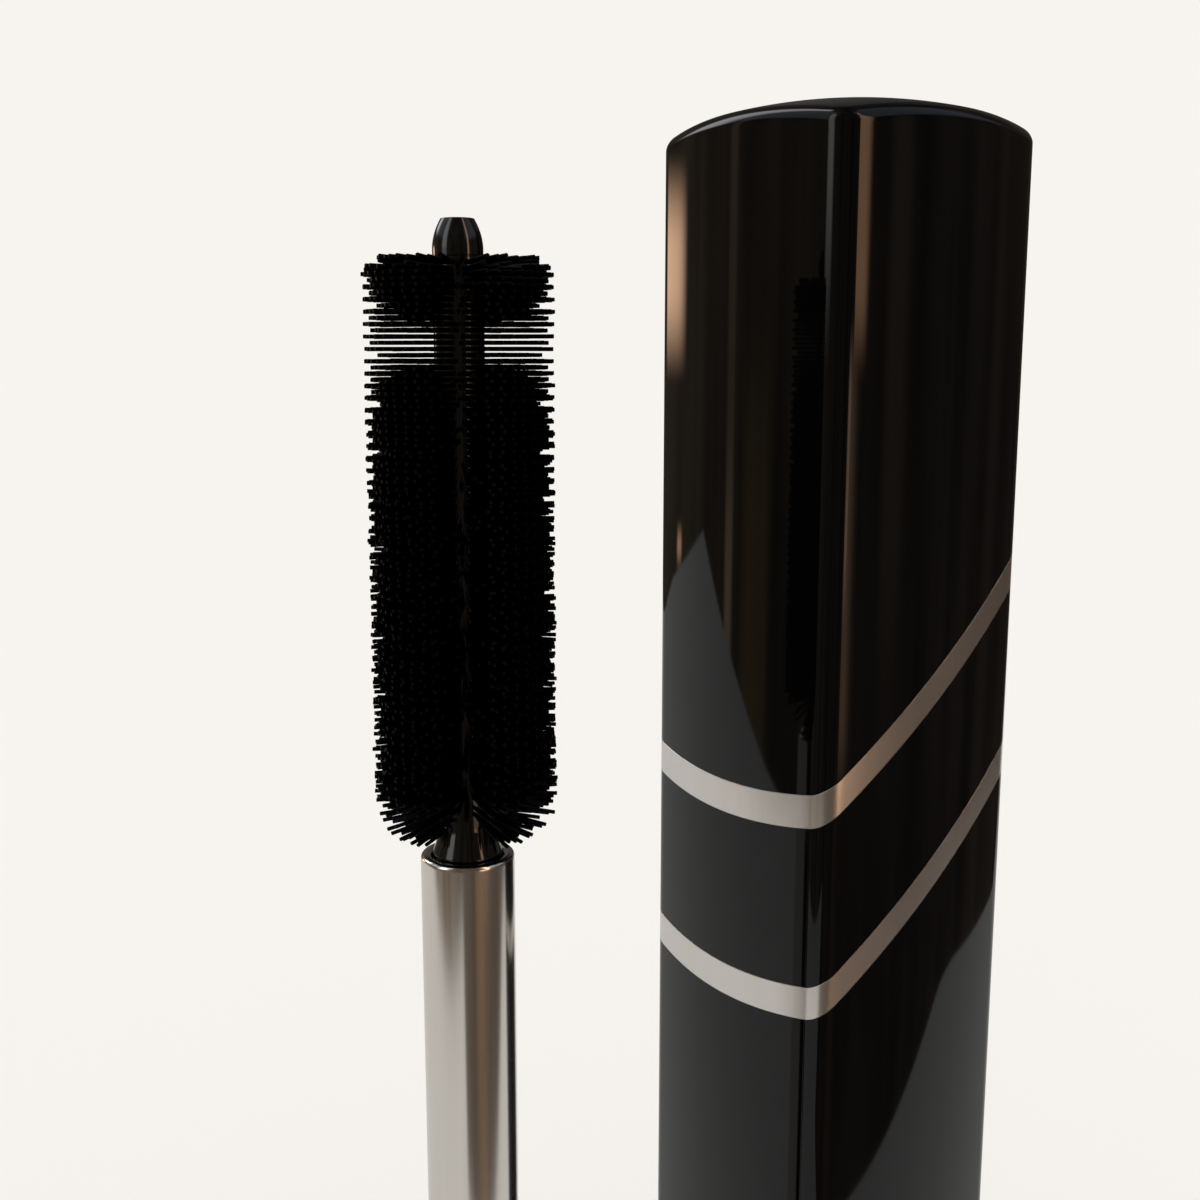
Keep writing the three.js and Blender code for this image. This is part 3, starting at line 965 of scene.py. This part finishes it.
@dataclass
class TubeFittings:
    """What closes and fills the tube: collar, bottle with its threaded neck, wiper and weight.

    Attributes:
        bottle_wall: wall of the bottle and its neck.
        collar_plate: thickness of the collar's plate.
        wiper_wall: wall of the wiper.
        wiper_flange: thickness of its flange.
        thread_start: from the lip to the first turn.
    """

    bottle_wall: float = 0.9
    collar_plate: float = 1.4
    wiper_wall: float = 0.5
    wiper_flange: float = 0.6
    thread_start: float = 3.5

    def __post_init__(self) -> None:
        """Reads the fittings from the frame."""
        self.case = CaseSection(Box.of("tube_shell").radius)
        self.round = RoundSection()
        self.collar_box = Box.of("collar")
        self.bottle_box = Box.of("bottle")
        self.wiper_box = Box.of("wiper")
        self.weight_box = Box.of("base_weight")
        self.rod_radius = Box.of("rod").radius
        self.axis_x = self.bottle_box.axis_x

    def collar(self) -> bpy.types.Object:
        """A plate the size of the case with a spigot above it and a round hole for the neck."""
        foot, top = self.collar_box.foot, self.collar_box.top
        face = foot + self.collar_plate
        hole = self.wiper_box.radius + GAP
        spigot = self.bottle_box.radius
        corners = [
            Corner(hole, foot, 0.15, 1),
            Corner(self.case.half_width, foot, 0.35),
            Corner(self.case.half_width, face, 0.12),
            Corner(spigot, face, 0.05),
            Corner(spigot, top, 0.2),
            Corner(hole, top, 0.1, 1),
        ]
        return hoop("neck_collar", corners, self.case, self.axis_x)

    def bottle(self) -> bpy.types.Object:
        """The bottle from its floor inside, down its bore and neck, and up its threaded outside."""
        box, neck, skin = self.bottle_box, self.wiper_box.radius, self.bottle_wall
        shoulder = self.collar_box.top + GAP
        corners = [
            *turned((0, box.top - skin), (box.radius - skin, box.top - skin, 0.4)),
            *turned((box.radius - skin, shoulder + skin, 0.3), (neck - skin, shoulder, 0.2)),
            *turned((neck - skin, box.foot, 0.1), (neck, box.foot, 0.2)),
            *wall(neck, box.foot + 0.5, shoulder - 0.3),
            *turned((neck, shoulder, 0.1), (box.radius, shoulder, 0.25)),
            *turned((box.radius, box.top, skin), (0, box.top)),
        ]
        thread = Thread(box.foot + self.thread_start)
        return solid("threaded_bottle", corners, self.round, self.axis_x, thread=thread)

    def wiper(self) -> bpy.types.Object:
        """A flange on the lip, a sleeve in the neck, and a cone down to the orifice."""
        box, skin = self.wiper_box, self.wiper_wall
        outer = box.radius - self.bottle_wall - GAP
        orifice = self.rod_radius + 0.1
        cone = box.top - 2 * (outer - orifice)
        corners = turned(
            (outer - skin, box.foot, 0.15),
            (box.radius, box.foot, 0.2),
            (box.radius, box.foot + self.wiper_flange, 0.1),
            (outer, box.foot + self.wiper_flange, 0.1),
            (outer, cone, 0.4),
            (orifice + skin, box.top, 0.15),
            (orifice, box.top, 0.1),
            (outer - skin, cone, 0.4),
        )
        return hoop("neck_wiper", corners, self.round, self.axis_x)

    def build(self) -> None:
        """Makes and dresses the pieces."""
        finish_piece(self.collar(), Body.TUBE, BLACK_MOULDING, "collar")
        finish_piece(self.bottle(), Body.TUBE, BOTTLE_MOULDING, "bottle")
        finish_piece(self.wiper(), Body.TUBE, WIPER_RUBBER, "wiper")
        slug = turned_slug("tube_weight", self.weight_box)
        finish_piece(slug, Body.TUBE, WEIGHT_STEEL, "base_weight")


def turned_slug(name: str, box: Box, chamfer: float = 0.5, centre: float = 0.35) -> bpy.types.Object:
    """A turned weight with chamfers and a centre drilling in each end.

    Args:
        name: name of the piece.
        box: its CAD node's box.
        chamfer: width of the chamfers.
        centre: depth of the drillings.

    Returns:
        The piece.
    """
    foot, top, outer = box.foot, box.top, box.radius
    corners = turned(
        (0, foot + centre),
        (2 * centre, foot, 0.05),
        (outer - chamfer, foot, 0.06),
        (outer, foot + chamfer, 0.06),
        (outer, top - chamfer, 0.06),
        (outer - chamfer, top, 0.06),
        (2 * centre, top, 0.05),
        (0, top - centre),
    )
    return solid(name, corners, RoundSection(), box.axis_x)


# Wand
@dataclass
class Handle:
    """The handle's lacquered case, and the threaded socket, liner and weight inside it.

    Attributes:
        edge_radius: rounding of the closed end.
        wall: thickness of the sides.
        flange: thickness of the socket's flange.
        floor: thickness of the socket's floor.
        hub_radius: radius of the hub that holds the rod.
        hub_depth: depth of the hub below the socket.
        thread_start: from the liner to the first turn.
        thread_height: how far the thread stands out.
        clearance: between the neck's thread and the socket's wall.
    """

    edge_radius: float = 0.55
    wall: float = 0.9
    flange: float = 1.2
    floor: float = 1.2
    hub_radius: float = 3.4
    hub_depth: float = 7.0
    thread_start: float = 3.5
    thread_height: float = 0.5
    clearance: float = 0.15

    def __post_init__(self) -> None:
        """Reads the handle from the frame."""
        self.box = Box.of("handle_shell")
        self.case = CaseSection(self.box.radius)
        self.socket_box = Box.of("socket")
        self.liner_box = Box.of("liner")
        self.weight_box = Box.of("handle_weight")
        self.rod_hole = Box.of("rod").radius + GAP
        self.axis_x = self.box.axis_x
        self.bore = Box.of("wiper").radius + self.thread_height + self.clearance

    def shell(self) -> bpy.types.Object:
        """The case: its flat end, up its outside, over the mouth and down to its floor."""
        outer, inner = self.box.radius, self.box.radius - self.wall
        floor = self.weight_box.foot - GAP
        corners = [
            Corner(0, self.box.foot),
            Corner(outer, self.box.foot, self.edge_radius),
            Corner(outer, self.box.top, 0.3),
            Corner(inner, self.box.top, 0.15),
            Corner(inner, floor, 0.3),
            Corner(0, floor),
        ]
        return solid("handle_case", corners, self.case, self.axis_x, steps=10)

    def socket(self) -> bpy.types.Object:
        """Hub, barrel and flange outside, and the threaded bore and the rod's hole inside."""
        foot, top = self.socket_box.foot, self.socket_box.top
        under = foot + self.hub_depth
        barrel = Box.of("bottle").radius
        plate = self.case.half_width - self.wall - GAP
        start = under + self.floor
        corners = [
            Corner(0, foot, 0, 1),
            Corner(self.hub_radius, foot, 0.4, 1),
            Corner(self.hub_radius, under, 0.3, 1),
            Corner(barrel, under, 0.3, 1),
            Corner(barrel, top - self.flange, 0, 1),
            Corner(plate, top - self.flange, 0.02),
            Corner(plate, top, 0.15),
            Corner(self.bore, top, 0.3, 1),
            *wall(self.bore, top - 0.5, start + 0.3),
            Corner(self.bore, start, 0.1, 1),
            Corner(self.rod_hole, start, 0.15, 1),
            Corner(self.rod_hole, foot + self.floor, 0.1, 1),
            Corner(0, foot + self.floor, 0, 1),
        ]
        thread = Thread(self.liner_box.top + self.thread_start)
        return solid("threaded_socket", corners, self.case, self.axis_x, thread=thread, bore=True)

    def liner(self) -> bpy.types.Object:
        """The ring of foam that the lip seals on."""
        foot, top = self.liner_box.foot, self.liner_box.top
        corners = turned(
            (self.rod_hole, foot, 0.15),
            (self.liner_box.radius, foot, 0.15),
            (self.liner_box.radius, top, 0.2),
            (self.rod_hole, top, 0.2),
        )
        return hoop("socket_liner", corners, RoundSection(), self.axis_x)

    def build(self) -> None:
        """Makes and dresses the pieces."""
        finish_piece(self.shell(), Body.WAND, LACQUER, "handle_shell")
        finish_piece(self.socket(), Body.WAND, BLACK_MOULDING, "socket")
        finish_piece(self.liner(), Body.STEM, LINER_FOAM, "liner")
        slug = turned_slug("handle_weight_slug", self.weight_box)
        finish_piece(slug, Body.WAND, WEIGHT_STEEL, "handle_weight")


@dataclass
class Rod:
    """The drawn metal tube that carries the brush.

    Attributes:
        wall: its wall.
        lip: rounding of its open end.
    """

    wall: float = 0.5
    lip: float = 0.2

    def build(self) -> None:
        """A closed ring: up the outside, over the rounded lip and down the bore."""
        box = Box.of("rod")
        bore = box.radius - self.wall
        corners = turned(
            (bore, box.foot, 0.05),
            (box.radius, box.foot, 0.1),
            (box.radius, box.top, self.lip),
            (bore, box.top, self.lip),
        )
        rod = hoop("drawn_rod", corners, RoundSection(160), box.axis_x, steps=10)
        finish_piece(rod, Body.STEM, ROD_METAL, "rod")


# Brush
@dataclass
class Rings:
    """Rings of bristles, a value of each array for a ring.

    Attributes:
        height: height of the ring on the core.
        reach: radius of the bristles' ends.
        fold: angle above the horizontal, in degrees.
        phase: turn of the ring, in bristle spacings.
        loose: how far the bristles stray, in degrees.
        bare: width of the sector without bristles, in degrees.
        each: bristles in a ring.
    """

    height: np.ndarray
    reach: np.ndarray
    fold: np.ndarray
    phase: np.ndarray
    loose: np.ndarray
    bare: np.ndarray
    each: int


@dataclass
class Brush:
    """The moulded core with its tip, and the rings of bristles on it.

    Attributes:
        pitch: distance between rings.
        per_ring: bristles in a ring.
        root_per_ring: bristles in a ring that folds down.
        thickness: of a bristle at its foot.
        taper: share of the thickness lost at the end.
        sides: sides of a bristle.
        steps: steps along a bristle.
        short_reach: how much further in every other ring ends.
        root_count: rings that fold down over the rod.
        root_fold: fold of the lowest ring, in degrees.
        root_shortening: how much shorter the lowest ring is.
        bare_bearing: middle of one of the two sides that the lowest rings leave bare, in degrees.
        bare_width: width of each of these sides at the lowest ring.
        parting: half the width of the worn parting above them, in degrees.
        parting_share: share of the bristles that it has lost.
        tip_face: radius of the tip's flat end.
        tip_straight: share of the tip's height that is straight.
        tip_steps: rows of its curved side.
        plug_length: length of the plug in the rod.
        plug_radius: its radius.
        cone_height: height of the cone between the rod's end and the core.
        angle_scatter: stray of a bristle's bearing, in bristle spacings.
        reach_scatter: stray of its reach.
        curl_scatter: stray of the rise of its end, where it is loose.
        sway_scatter: stray of its end sideways, where it is loose.
        sunk: how deep its foot is in the core.
        worn_every: one ring in this many is worn short.
        worn_first: number of the first of them.
        worn_by: how much shorter it is.
        least_loose: stray of the tidiest rings, in degrees.
        more_loose: how much more the loosest stray.
        tidy_length: length below the top over which the rings are at their tidiest.
        loosening: length below that over which they loosen.
        seed: seed of the scatter.
    """

    pitch: float = 0.255
    per_ring: int = 44
    root_per_ring: int = 12
    thickness: float = 0.205
    taper: float = 0.12
    sides: int = 5
    steps: int = 3
    short_reach: float = 0.25
    root_count: int = 6
    root_fold: float = 22.0
    root_shortening: float = 1.7
    bare_bearing: float = 240.0
    bare_width: float = 95.0
    parting: float = 15.0
    parting_share: float = 0.7
    tip_face: float = 0.7
    tip_straight: float = 0.2
    tip_steps: int = 14
    plug_length: float = 8.0
    plug_radius: float = 1.56
    cone_height: float = 1.2
    angle_scatter: float = 0.05
    reach_scatter: float = 0.03
    curl_scatter: float = 0.012
    sway_scatter: float = 0.03
    sunk: float = 0.12
    worn_every: int = 8
    worn_first: int = 5
    worn_by: float = 0.35
    least_loose: float = 0.15
    more_loose: float = 1.5
    tidy_length: float = 5.0
    loosening: float = 8.0
    seed: int = 11

    def __post_init__(self) -> None:
        """Reads the brush from the frame."""
        self.tip = Box.of("brush_tip")
        self.main = Box.of("bristles_main")
        self.rod = Box.of("rod")
        self.axis_x = self.main.axis_x
        self.core_radius = self.tip.radius
        self.scatter = np.random.default_rng(self.seed)

    def core(self) -> bpy.types.Object:
        """The core in one piece with its plug in the rod's end and the cone between them."""
        end = self.rod.top
        corners = turned(
            (0, end - self.plug_length),
            (self.plug_radius, end - self.plug_length, 0.2),
            (self.plug_radius, end + 0.1, 0.2),
            (self.core_radius + 0.1, end + self.cone_height, 1.5),
            (self.core_radius, self.main.foot, 1.0),
            (self.core_radius, self.tip.foot + 0.1),
            (0, self.tip.foot + 0.1),
        )
        return solid("brush_stem_core", corners, RoundSection(64), self.axis_x)

    def cap(self) -> bpy.types.Object:
        """The barrel-shaped tip: its side curves in to a small flat end.

        From the top of its straight part, the radius falls from the core's to the face's with the square of
        the share of the height that is left.
        """
        foot, top = self.tip.foot, self.tip.top
        share = np.linspace(0, 1, self.tip_steps)
        straight = foot + self.tip_straight * (top - foot)
        heights = straight + share * (top - straight)
        reaches = self.core_radius - (self.core_radius - self.tip_face) * share**2
        side = [(float(r), float(z)) for r, z in zip(reaches[:-1], heights[:-1])]
        corners = turned((0, foot), (self.core_radius, foot), *side, (self.tip_face, top, 0.05), (0, top))
        return solid("brush_tip_cap", corners, RoundSection(64), self.axis_x)

    def bristles(self, name: str, rings: Rings) -> bpy.types.Object:
        """Makes a set of rings as strands.

        A bristle leaves the core at its ring's height and angle and ends at its reach. Along it, its height
        follows the tangent of its fold, with a little more towards the end, and it sways sideways with the
        square of the distance. Its thickness falls evenly to its flat end.

        Args:
            name: name of the piece.
            rings: the rings.

        Returns:
            The piece.
        """
        shape = (len(rings.height), rings.each)
        loose = rings.loose[:, None]
        bare = np.radians(rings.bare)[:, None]
        half, place = np.divmod(np.arange(rings.each)[None], rings.each // 2)
        spacing = (math.pi - bare) / (rings.each // 2)
        first = math.radians(self.bare_bearing) + half * math.pi + bare / 2
        angle = first + (place + rings.phase[:, None]) * spacing
        angle = angle + self.scatter.normal(0, self.angle_scatter, shape) * spacing
        reach = rings.reach[:, None] + self.scatter.normal(0, self.reach_scatter, shape)
        fold = np.radians(rings.fold[:, None] + self.scatter.normal(0, 1, shape) * loose)
        curl = self.scatter.normal(0, self.curl_scatter, shape) * loose
        sway = self.scatter.normal(0, self.sway_scatter, shape) * loose
        start = self.core_radius - self.sunk
        along = np.linspace(0, 1, self.steps + 1)
        radius = start + (reach[..., None] - start) * along
        rise = (radius - start) * np.tan(fold)[..., None] + curl[..., None] * along**2
        outward = np.exp(1j * angle)[..., None, None]
        plan = outward * (radius + 1j * sway[..., None] * along**2)[..., None]
        turn = np.linspace(0, 2 * math.pi, self.sides, endpoint=False) + math.pi / 2
        width = self.thickness / 2 * (1 - self.taper * along)[:, None]
        across, up = width * np.cos(turn), width * np.sin(turn)
        fold = fold[..., None, None]
        plan = plan + outward * (1j * across - up * np.sin(fold))
        height = (rings.height[:, None, None] + rise)[..., None] + up * np.cos(fold)
        points = np.stack([plan.real + self.axis_x, plan.imag, height], axis=-1)
        aside = np.cos(angle - math.radians(self.bare_bearing))
        parted = aside > math.cos(math.radians(self.parting))
        lost = self.scatter.random(shape) < self.parting_share
        sketch = Sketch()
        sketch.strands(points[~(parted & lost)])
        return sketch.build(name)

    def main_rings(self) -> Rings:
        """Flat rings, long and short by turns, looser further down."""
        top = self.main.top - self.thickness / 2
        foot = self.main.foot + self.thickness / 2
        count = int((top - foot) / self.pitch) + 1
        number = np.arange(count)
        height = top - number * self.pitch
        reach = self.main.radius - self.short_reach * (number % 2)
        reach = reach - self.worn_by * (number % self.worn_every == self.worn_first)
        share = np.clip((top - height - self.tidy_length) / self.loosening, 0, 1)
        loose = self.least_loose + self.more_loose * share
        level = np.zeros(count)
        return Rings(height, reach, level, 0.5 * (number % 2), loose, level, self.per_ring)

    def top_rings(self) -> Rings:
        """The two rings at the tip's foot, which lift."""
        number = np.arange(2)
        height = self.main.top + (0.4 + number) * self.pitch
        reach = self.main.radius - 0.1 - 0.5 * number
        fold, loose = 1.5 + 2.5 * number, np.ones(2)
        return Rings(height, reach, fold, 0.5 * number, loose, np.zeros(2), self.per_ring)

    def root_rings(self) -> Rings:
        """The rings that fold down over the rod: their fold grows and their reach falls towards the last."""
        number = np.arange(self.root_count)
        share = number / (self.root_count - 1)
        height = self.main.foot - 0.1 - number * self.pitch
        reach = self.main.radius - self.root_shortening * share**2
        fold = -(1 + (self.root_fold - 1) * share**1.1)
        loose = np.full(self.root_count, 1.6)
        bare = self.bare_width * share
        return Rings(height, reach, fold, 0.5 * (number % 2), loose, bare, self.root_per_ring)

    def build(self) -> None:
        """Makes and dresses the pieces."""
        finish_piece(self.core(), Body.WAND, BRUSH_MOULDING, "brush_core")
        finish_piece(self.cap(), Body.WAND, BRUSH_MOULDING, "brush_tip")
        main = self.bristles("bristle_rings_main", self.main_rings())
        finish_piece(main, Body.WAND, BRISTLE, "bristles_main")
        top = self.bristles("bristle_rings_top", self.top_rings())
        finish_piece(top, Body.WAND, BRISTLE, "bristles_top")
        root = self.bristles("bristle_rings_root", self.root_rings())
        finish_piece(root, Body.WAND, BRISTLE, "bristles_root")


# Studio
@dataclass(frozen=True)
class Glow:
    """A soft light on the wall of the studio, seen only in gloss.

    Attributes:
        bearing: direction in plan from +X, in degrees.
        half_width: half its width, in degrees.
        low: elevation of its lower edge, in degrees.
        high: elevation of its upper edge.
        colour: its radiance.
        soft: softness of its sides, in degrees.
        fade: softness of its ends, in degrees.
    """

    bearing: float
    half_width: float
    low: float
    high: float
    colour: Colour
    soft: float = 2.0
    fade: float = 3.0


@dataclass
class Studio:
    """A pale floor in even light, with a dim warm room that only gloss sees.

    Attributes:
        pale: colour of the floor and the background.
        sheet: radiance of the pale sheet in reflections.
        sheet_near: its near corners in plan, from the left.
        sheet_corner: its near corner on the right.
        sheet_round: radius that rounds that corner.
        sheet_right: its corners along the right.
        sheet_left: its far corners on the left and the bend of its left side.
        wall_warm: radiance of the warm side of the room.
        wall_dim: radiance of its dim side.
        warm_bearing: bearing of the warm side, in degrees.
        dark_bearing: bearing of the darkest side.
        dark_share: how much less light comes from it.
        reach: radius of the room.
        glows: lights on its wall.
    """

    pale: Colour = (0.930, 0.905, 0.863)
    sheet: Colour = (0.66, 0.655, 0.64)
    sheet_near: tuple[tuple[float, float], ...] = ((-125, -120), (-70, -65))
    sheet_corner: tuple[float, float] = (125, -85)
    sheet_round: float = 40.0
    sheet_right: tuple[tuple[float, float], ...] = ((500, 180), (600, 430))
    sheet_left: tuple[tuple[float, float], ...] = ((-95, 420), (-145, 475), (-330, 555), (-190, 130))
    wall_warm: Colour = (0.16, 0.125, 0.09)
    wall_dim: Colour = (0.095, 0.075, 0.06)
    warm_bearing: float = 130.0
    dark_bearing: float = 55.0
    dark_share: float = 0.6
    reach: float = 9000.0
    glows: tuple[Glow, ...] = (
        Glow(106, 4.5, 1, 6, (7.0, 4.3, 2.7), 3, 2),
        Glow(110.5, 0.6, -7.6, -7, (5.5, 3.1, 1.9), 0.8, 0.8),
        Glow(131, 0.8, -14, -5, (0.5, 0.36, 0.26), 1, 4),
        Glow(131, 0.8, -14, 30, (0.3, 0.21, 0.15), 1, 8),
        Glow(140, 2.5, -18, -2, (0.2, 0.14, 0.05), 3, 5),
        Glow(111, 9, 20, 70, (3.2, 3.2, 3.3), 6, 4),
        Glow(150, 28, 22, 70, (0.35, 0.42, 0.52), 8, 5),
        Glow(177, 10, 4, 60, (1.8, 1.85, 1.8), 5, 5),
        Glow(55, 40, 8, 60, (0.02, 0.025, 0.035), 10, 5),
        Glow(310, 30, 22, 70, (0.3, 0.37, 0.48), 8, 5),
        Glow(289, 4, 1, 60, (3.8, 2.1, 1.2), 1, 2),
        Glow(280, 10, -16, 0, (1.2, 0.75, 0.48), 3, 2),
        Glow(275, 5, -9, 0, (1.6, 1.1, 0.75), 2, 2),
        Glow(302, 2, -12, 20, (0.1, 0.075, 0.05), 2, 8),
        Glow(268, 10, -60, -12, (0.08, 0.045, 0.02), 5, 5),
    )

    def world(self) -> None:
        """Even light for all that is not gloss, and the pale background for the camera."""
        world = bpy.data.worlds.new("studio")
        world.use_nodes = True
        bpy.context.scene.world = world
        bench = Bench(world.node_tree)
        light = bench.node("ShaderNodeBackground", {}, {"Color": (1, 1, 1, 1), "Strength": 1.0})
        seen = bench.node("ShaderNodeBackground", {}, {"Color": rgba(self.pale), "Strength": 1.0})
        camera = bench.value("ShaderNodeLightPath", {}, {}, "Is Camera Ray")
        mixed = bench.node("ShaderNodeMixShader", {}, {0: camera, 1: light.outputs[0], 2: seen.outputs[0]})
        bench.node("ShaderNodeOutputWorld", {}, {"Surface": mixed.outputs[0]})

    def panel(self, name: str, corners: Sequence[tuple[float, float]], height: float) -> bpy.types.Object:
        """A flat stage piece with these corners in plan, at a height."""
        points = [(x * MM, y * MM, height * MM) for x, y in corners]
        mesh = bpy.data.meshes.new(name)
        mesh.from_pydata(points, [], [tuple(range(len(points)))])
        made = bpy.data.objects.new(name, mesh)
        bpy.context.scene.collection.objects.link(made)
        return made

    def floor(self) -> None:
        """The floor that the camera sees: matt and pale, and hidden from gloss."""
        far = 6000.0
        floor = self.panel("floor", ((-far, -far), (far, -far), (far, far), (-far, far)), -0.02)
        floor.visible_glossy = False
        material, bench = stage_paint("floor_paint")
        matt = bench.node("ShaderNodeBsdfDiffuse", {}, {"Color": rgba(self.pale)})
        bench.node("ShaderNodeOutputMaterial", {}, {"Surface": matt.outputs[0]})
        floor.data.materials.append(material)

    def gloss_only(self, piece: bpy.types.Object, material: bpy.types.Material) -> None:
        """Shows a stage piece in gloss and nowhere else."""
        piece.visible_camera = False
        piece.visible_diffuse = False
        piece.visible_transmission = False
        piece.visible_volume_scatter = False
        piece.visible_shadow = False
        piece.data.materials.append(material)
        material.cycles.emission_sampling = "NONE"

    def paper(self) -> None:
        """The pale sheet that the two pieces stand on, as gloss sees it: one corner is rounded."""
        corner = Corner(*self.sheet_corner, self.sheet_round)
        bend = _arc(np.array(self.sheet_near[-1]), corner, np.array(self.sheet_right[0]), 12)
        edge = [*self.sheet_near, *bend.tolist(), *self.sheet_right, *self.sheet_left]
        sheet = self.panel("paper", edge, -0.05)
        material, bench = stage_paint("paper_in_gloss")
        glow = bench.node("ShaderNodeEmission", {}, {"Color": rgba(self.sheet), "Strength": 1.0})
        bench.node("ShaderNodeOutputMaterial", {}, {"Surface": glow.outputs[0]})
        self.gloss_only(sheet, material)

    def room(self) -> None:
        """The room: a sphere whose colour changes with direction."""
        tilt = np.linspace(-math.pi / 2, math.pi / 2, 32)
        level = 0 * tilt
        rows = np.stack([self.reach * np.cos(tilt), self.reach * np.sin(tilt), level + 1, level, level], 1)
        sketch = Sketch()
        sketch.grid(carry(rows, RoundSection(64), 0.0), start=True, end=True)
        room = sketch.build("room")
        material, bench = stage_paint("room_in_gloss")
        direction = bench.vector("NORMALIZE", bench.place())
        plan = bench.vector("NORMALIZE", bench.place((1, 1, 0)))
        lift = bench.parts(direction)[2]
        colour = self.wall(bench, direction, plan)
        for glow in self.glows:
            colour = bench.blend(self.window(bench, glow, plan, lift), colour, rgba(glow.colour), "ADD")
        light = bench.node("ShaderNodeEmission", {}, {"Color": colour, "Strength": 1.0})
        bench.node("ShaderNodeOutputMaterial", {}, {"Surface": light.outputs[0]})
        self.gloss_only(room, material)

    def wall(self, bench: Bench, direction: Value, plan: Value) -> Value:
        """Colour of the room without its lights.

        It goes from dim to warm with the cosine of the bearing, times a share that falls on the dark side,
        times noise drawn out upwards.

        Args:
            bench: the node tree.
            direction: unit vector from the origin.
            plan: the same in plan.

        Returns:
            The colour.
        """
        streak = bench.noise(bench.vector("MULTIPLY", direction, (9, 9, 0.9)), 1000, 3.0).ramp(0.3, 0.72)
        cloud = bench.noise(bench.vector("MULTIPLY", direction, (2.4, 2.4, 1.6)), 1000, 2.0).ramp(0.25, 0.75)
        warm = self.towards(bench, plan, self.warm_bearing).ramp(-0.6, 0.9)
        dark = self.towards(bench, plan, self.dark_bearing).ramp(0.8, 0.95)
        base = bench.blend(warm, rgba(self.wall_dim), rgba(self.wall_warm))
        level = (streak * 0.7 + cloud * 0.6 + 0.35) * (1 - dark * self.dark_share)
        grey = bench.value("ShaderNodeCombineColor", {}, {0: level, 1: level, 2: level})
        return bench.blend(1.0, base, grey, "MULTIPLY")

    def window(self, bench: Bench, glow: Glow, plan: Value, lift: Value) -> Value:
        """How strongly a glow shows in a direction.

        Args:
            bench: the node tree.
            glow: the glow.
            plan: unit vector of the direction in plan.
            lift: sine of its elevation.

        Returns:
            A share from 0 to 1.
        """
        outer = math.cos(math.radians(glow.half_width + glow.soft))
        inner = math.cos(math.radians(max(glow.half_width - glow.soft, 0)))
        low = [math.sin(math.radians(glow.low + side * glow.fade)) for side in (-1, 1)]
        high = [math.sin(math.radians(glow.high + side * glow.fade)) for side in (-1, 1)]
        side = self.towards(bench, plan, glow.bearing).ramp(outer, inner)
        return side * lift.ramp(*low) * (1 - lift.ramp(*high))

    def towards(self, bench: Bench, plan: Value, bearing: float) -> Value:
        """Cosine of the angle in plan between a direction and a bearing."""
        angle = math.radians(bearing)
        return bench.vector("DOT_PRODUCT", plan, (math.cos(angle), math.sin(angle), 0), "Value")

    def build(self) -> None:
        """Makes the studio."""
        self.world()
        self.floor()
        self.paper()
        self.room()
        view = bpy.context.scene.view_settings
        view.view_transform = "Standard"
        view.look = "None"


@dataclass(frozen=True)
class Viewpoint:
    """The camera.

    Attributes:
        place: where it stands, in millimetres.
        heading: its direction in plan, in degrees from +Y towards +X.
        pitch: how far it looks down, in degrees.
        lens: focal length.
        sensor: width of the sensor.
    """

    place: tuple[float, float, float] = (-42.0, -54.08, 90.8)
    heading: float = 35.2
    pitch: float = 10.0
    lens: float = 43.35
    sensor: float = 36.0

    def build(self) -> None:
        """Makes the camera and sets it as the scene's."""
        data = bpy.data.cameras.new("viewpoint")
        data.lens = self.lens
        data.sensor_width = self.sensor
        data.clip_start = 0.001
        data.clip_end = 50
        camera = bpy.data.objects.new("viewpoint", data)
        bpy.context.scene.collection.objects.link(camera)
        turn = Matrix.Rotation(math.radians(-self.heading), 4, "Z")
        look = Matrix.Rotation(math.radians(90 - self.pitch), 4, "X")
        camera.matrix_world = Matrix.Translation(Vector(self.place) * MM) @ turn @ look
        bpy.context.scene.camera = camera


def write_size() -> None:
    """Updates the view layer."""
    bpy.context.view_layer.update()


def main() -> None:
    """Builds the object, its studio and its camera."""
    logging.basicConfig(level=logging.INFO, format="%(name)s: %(message)s")
    Viewpoint().build()
    Studio().build()
    TubeCase().build()
    TubeFittings().build()
    Handle().build()
    Rod().build()
    Brush().build()
    write_size()


if __name__ == "__main__":
    main()
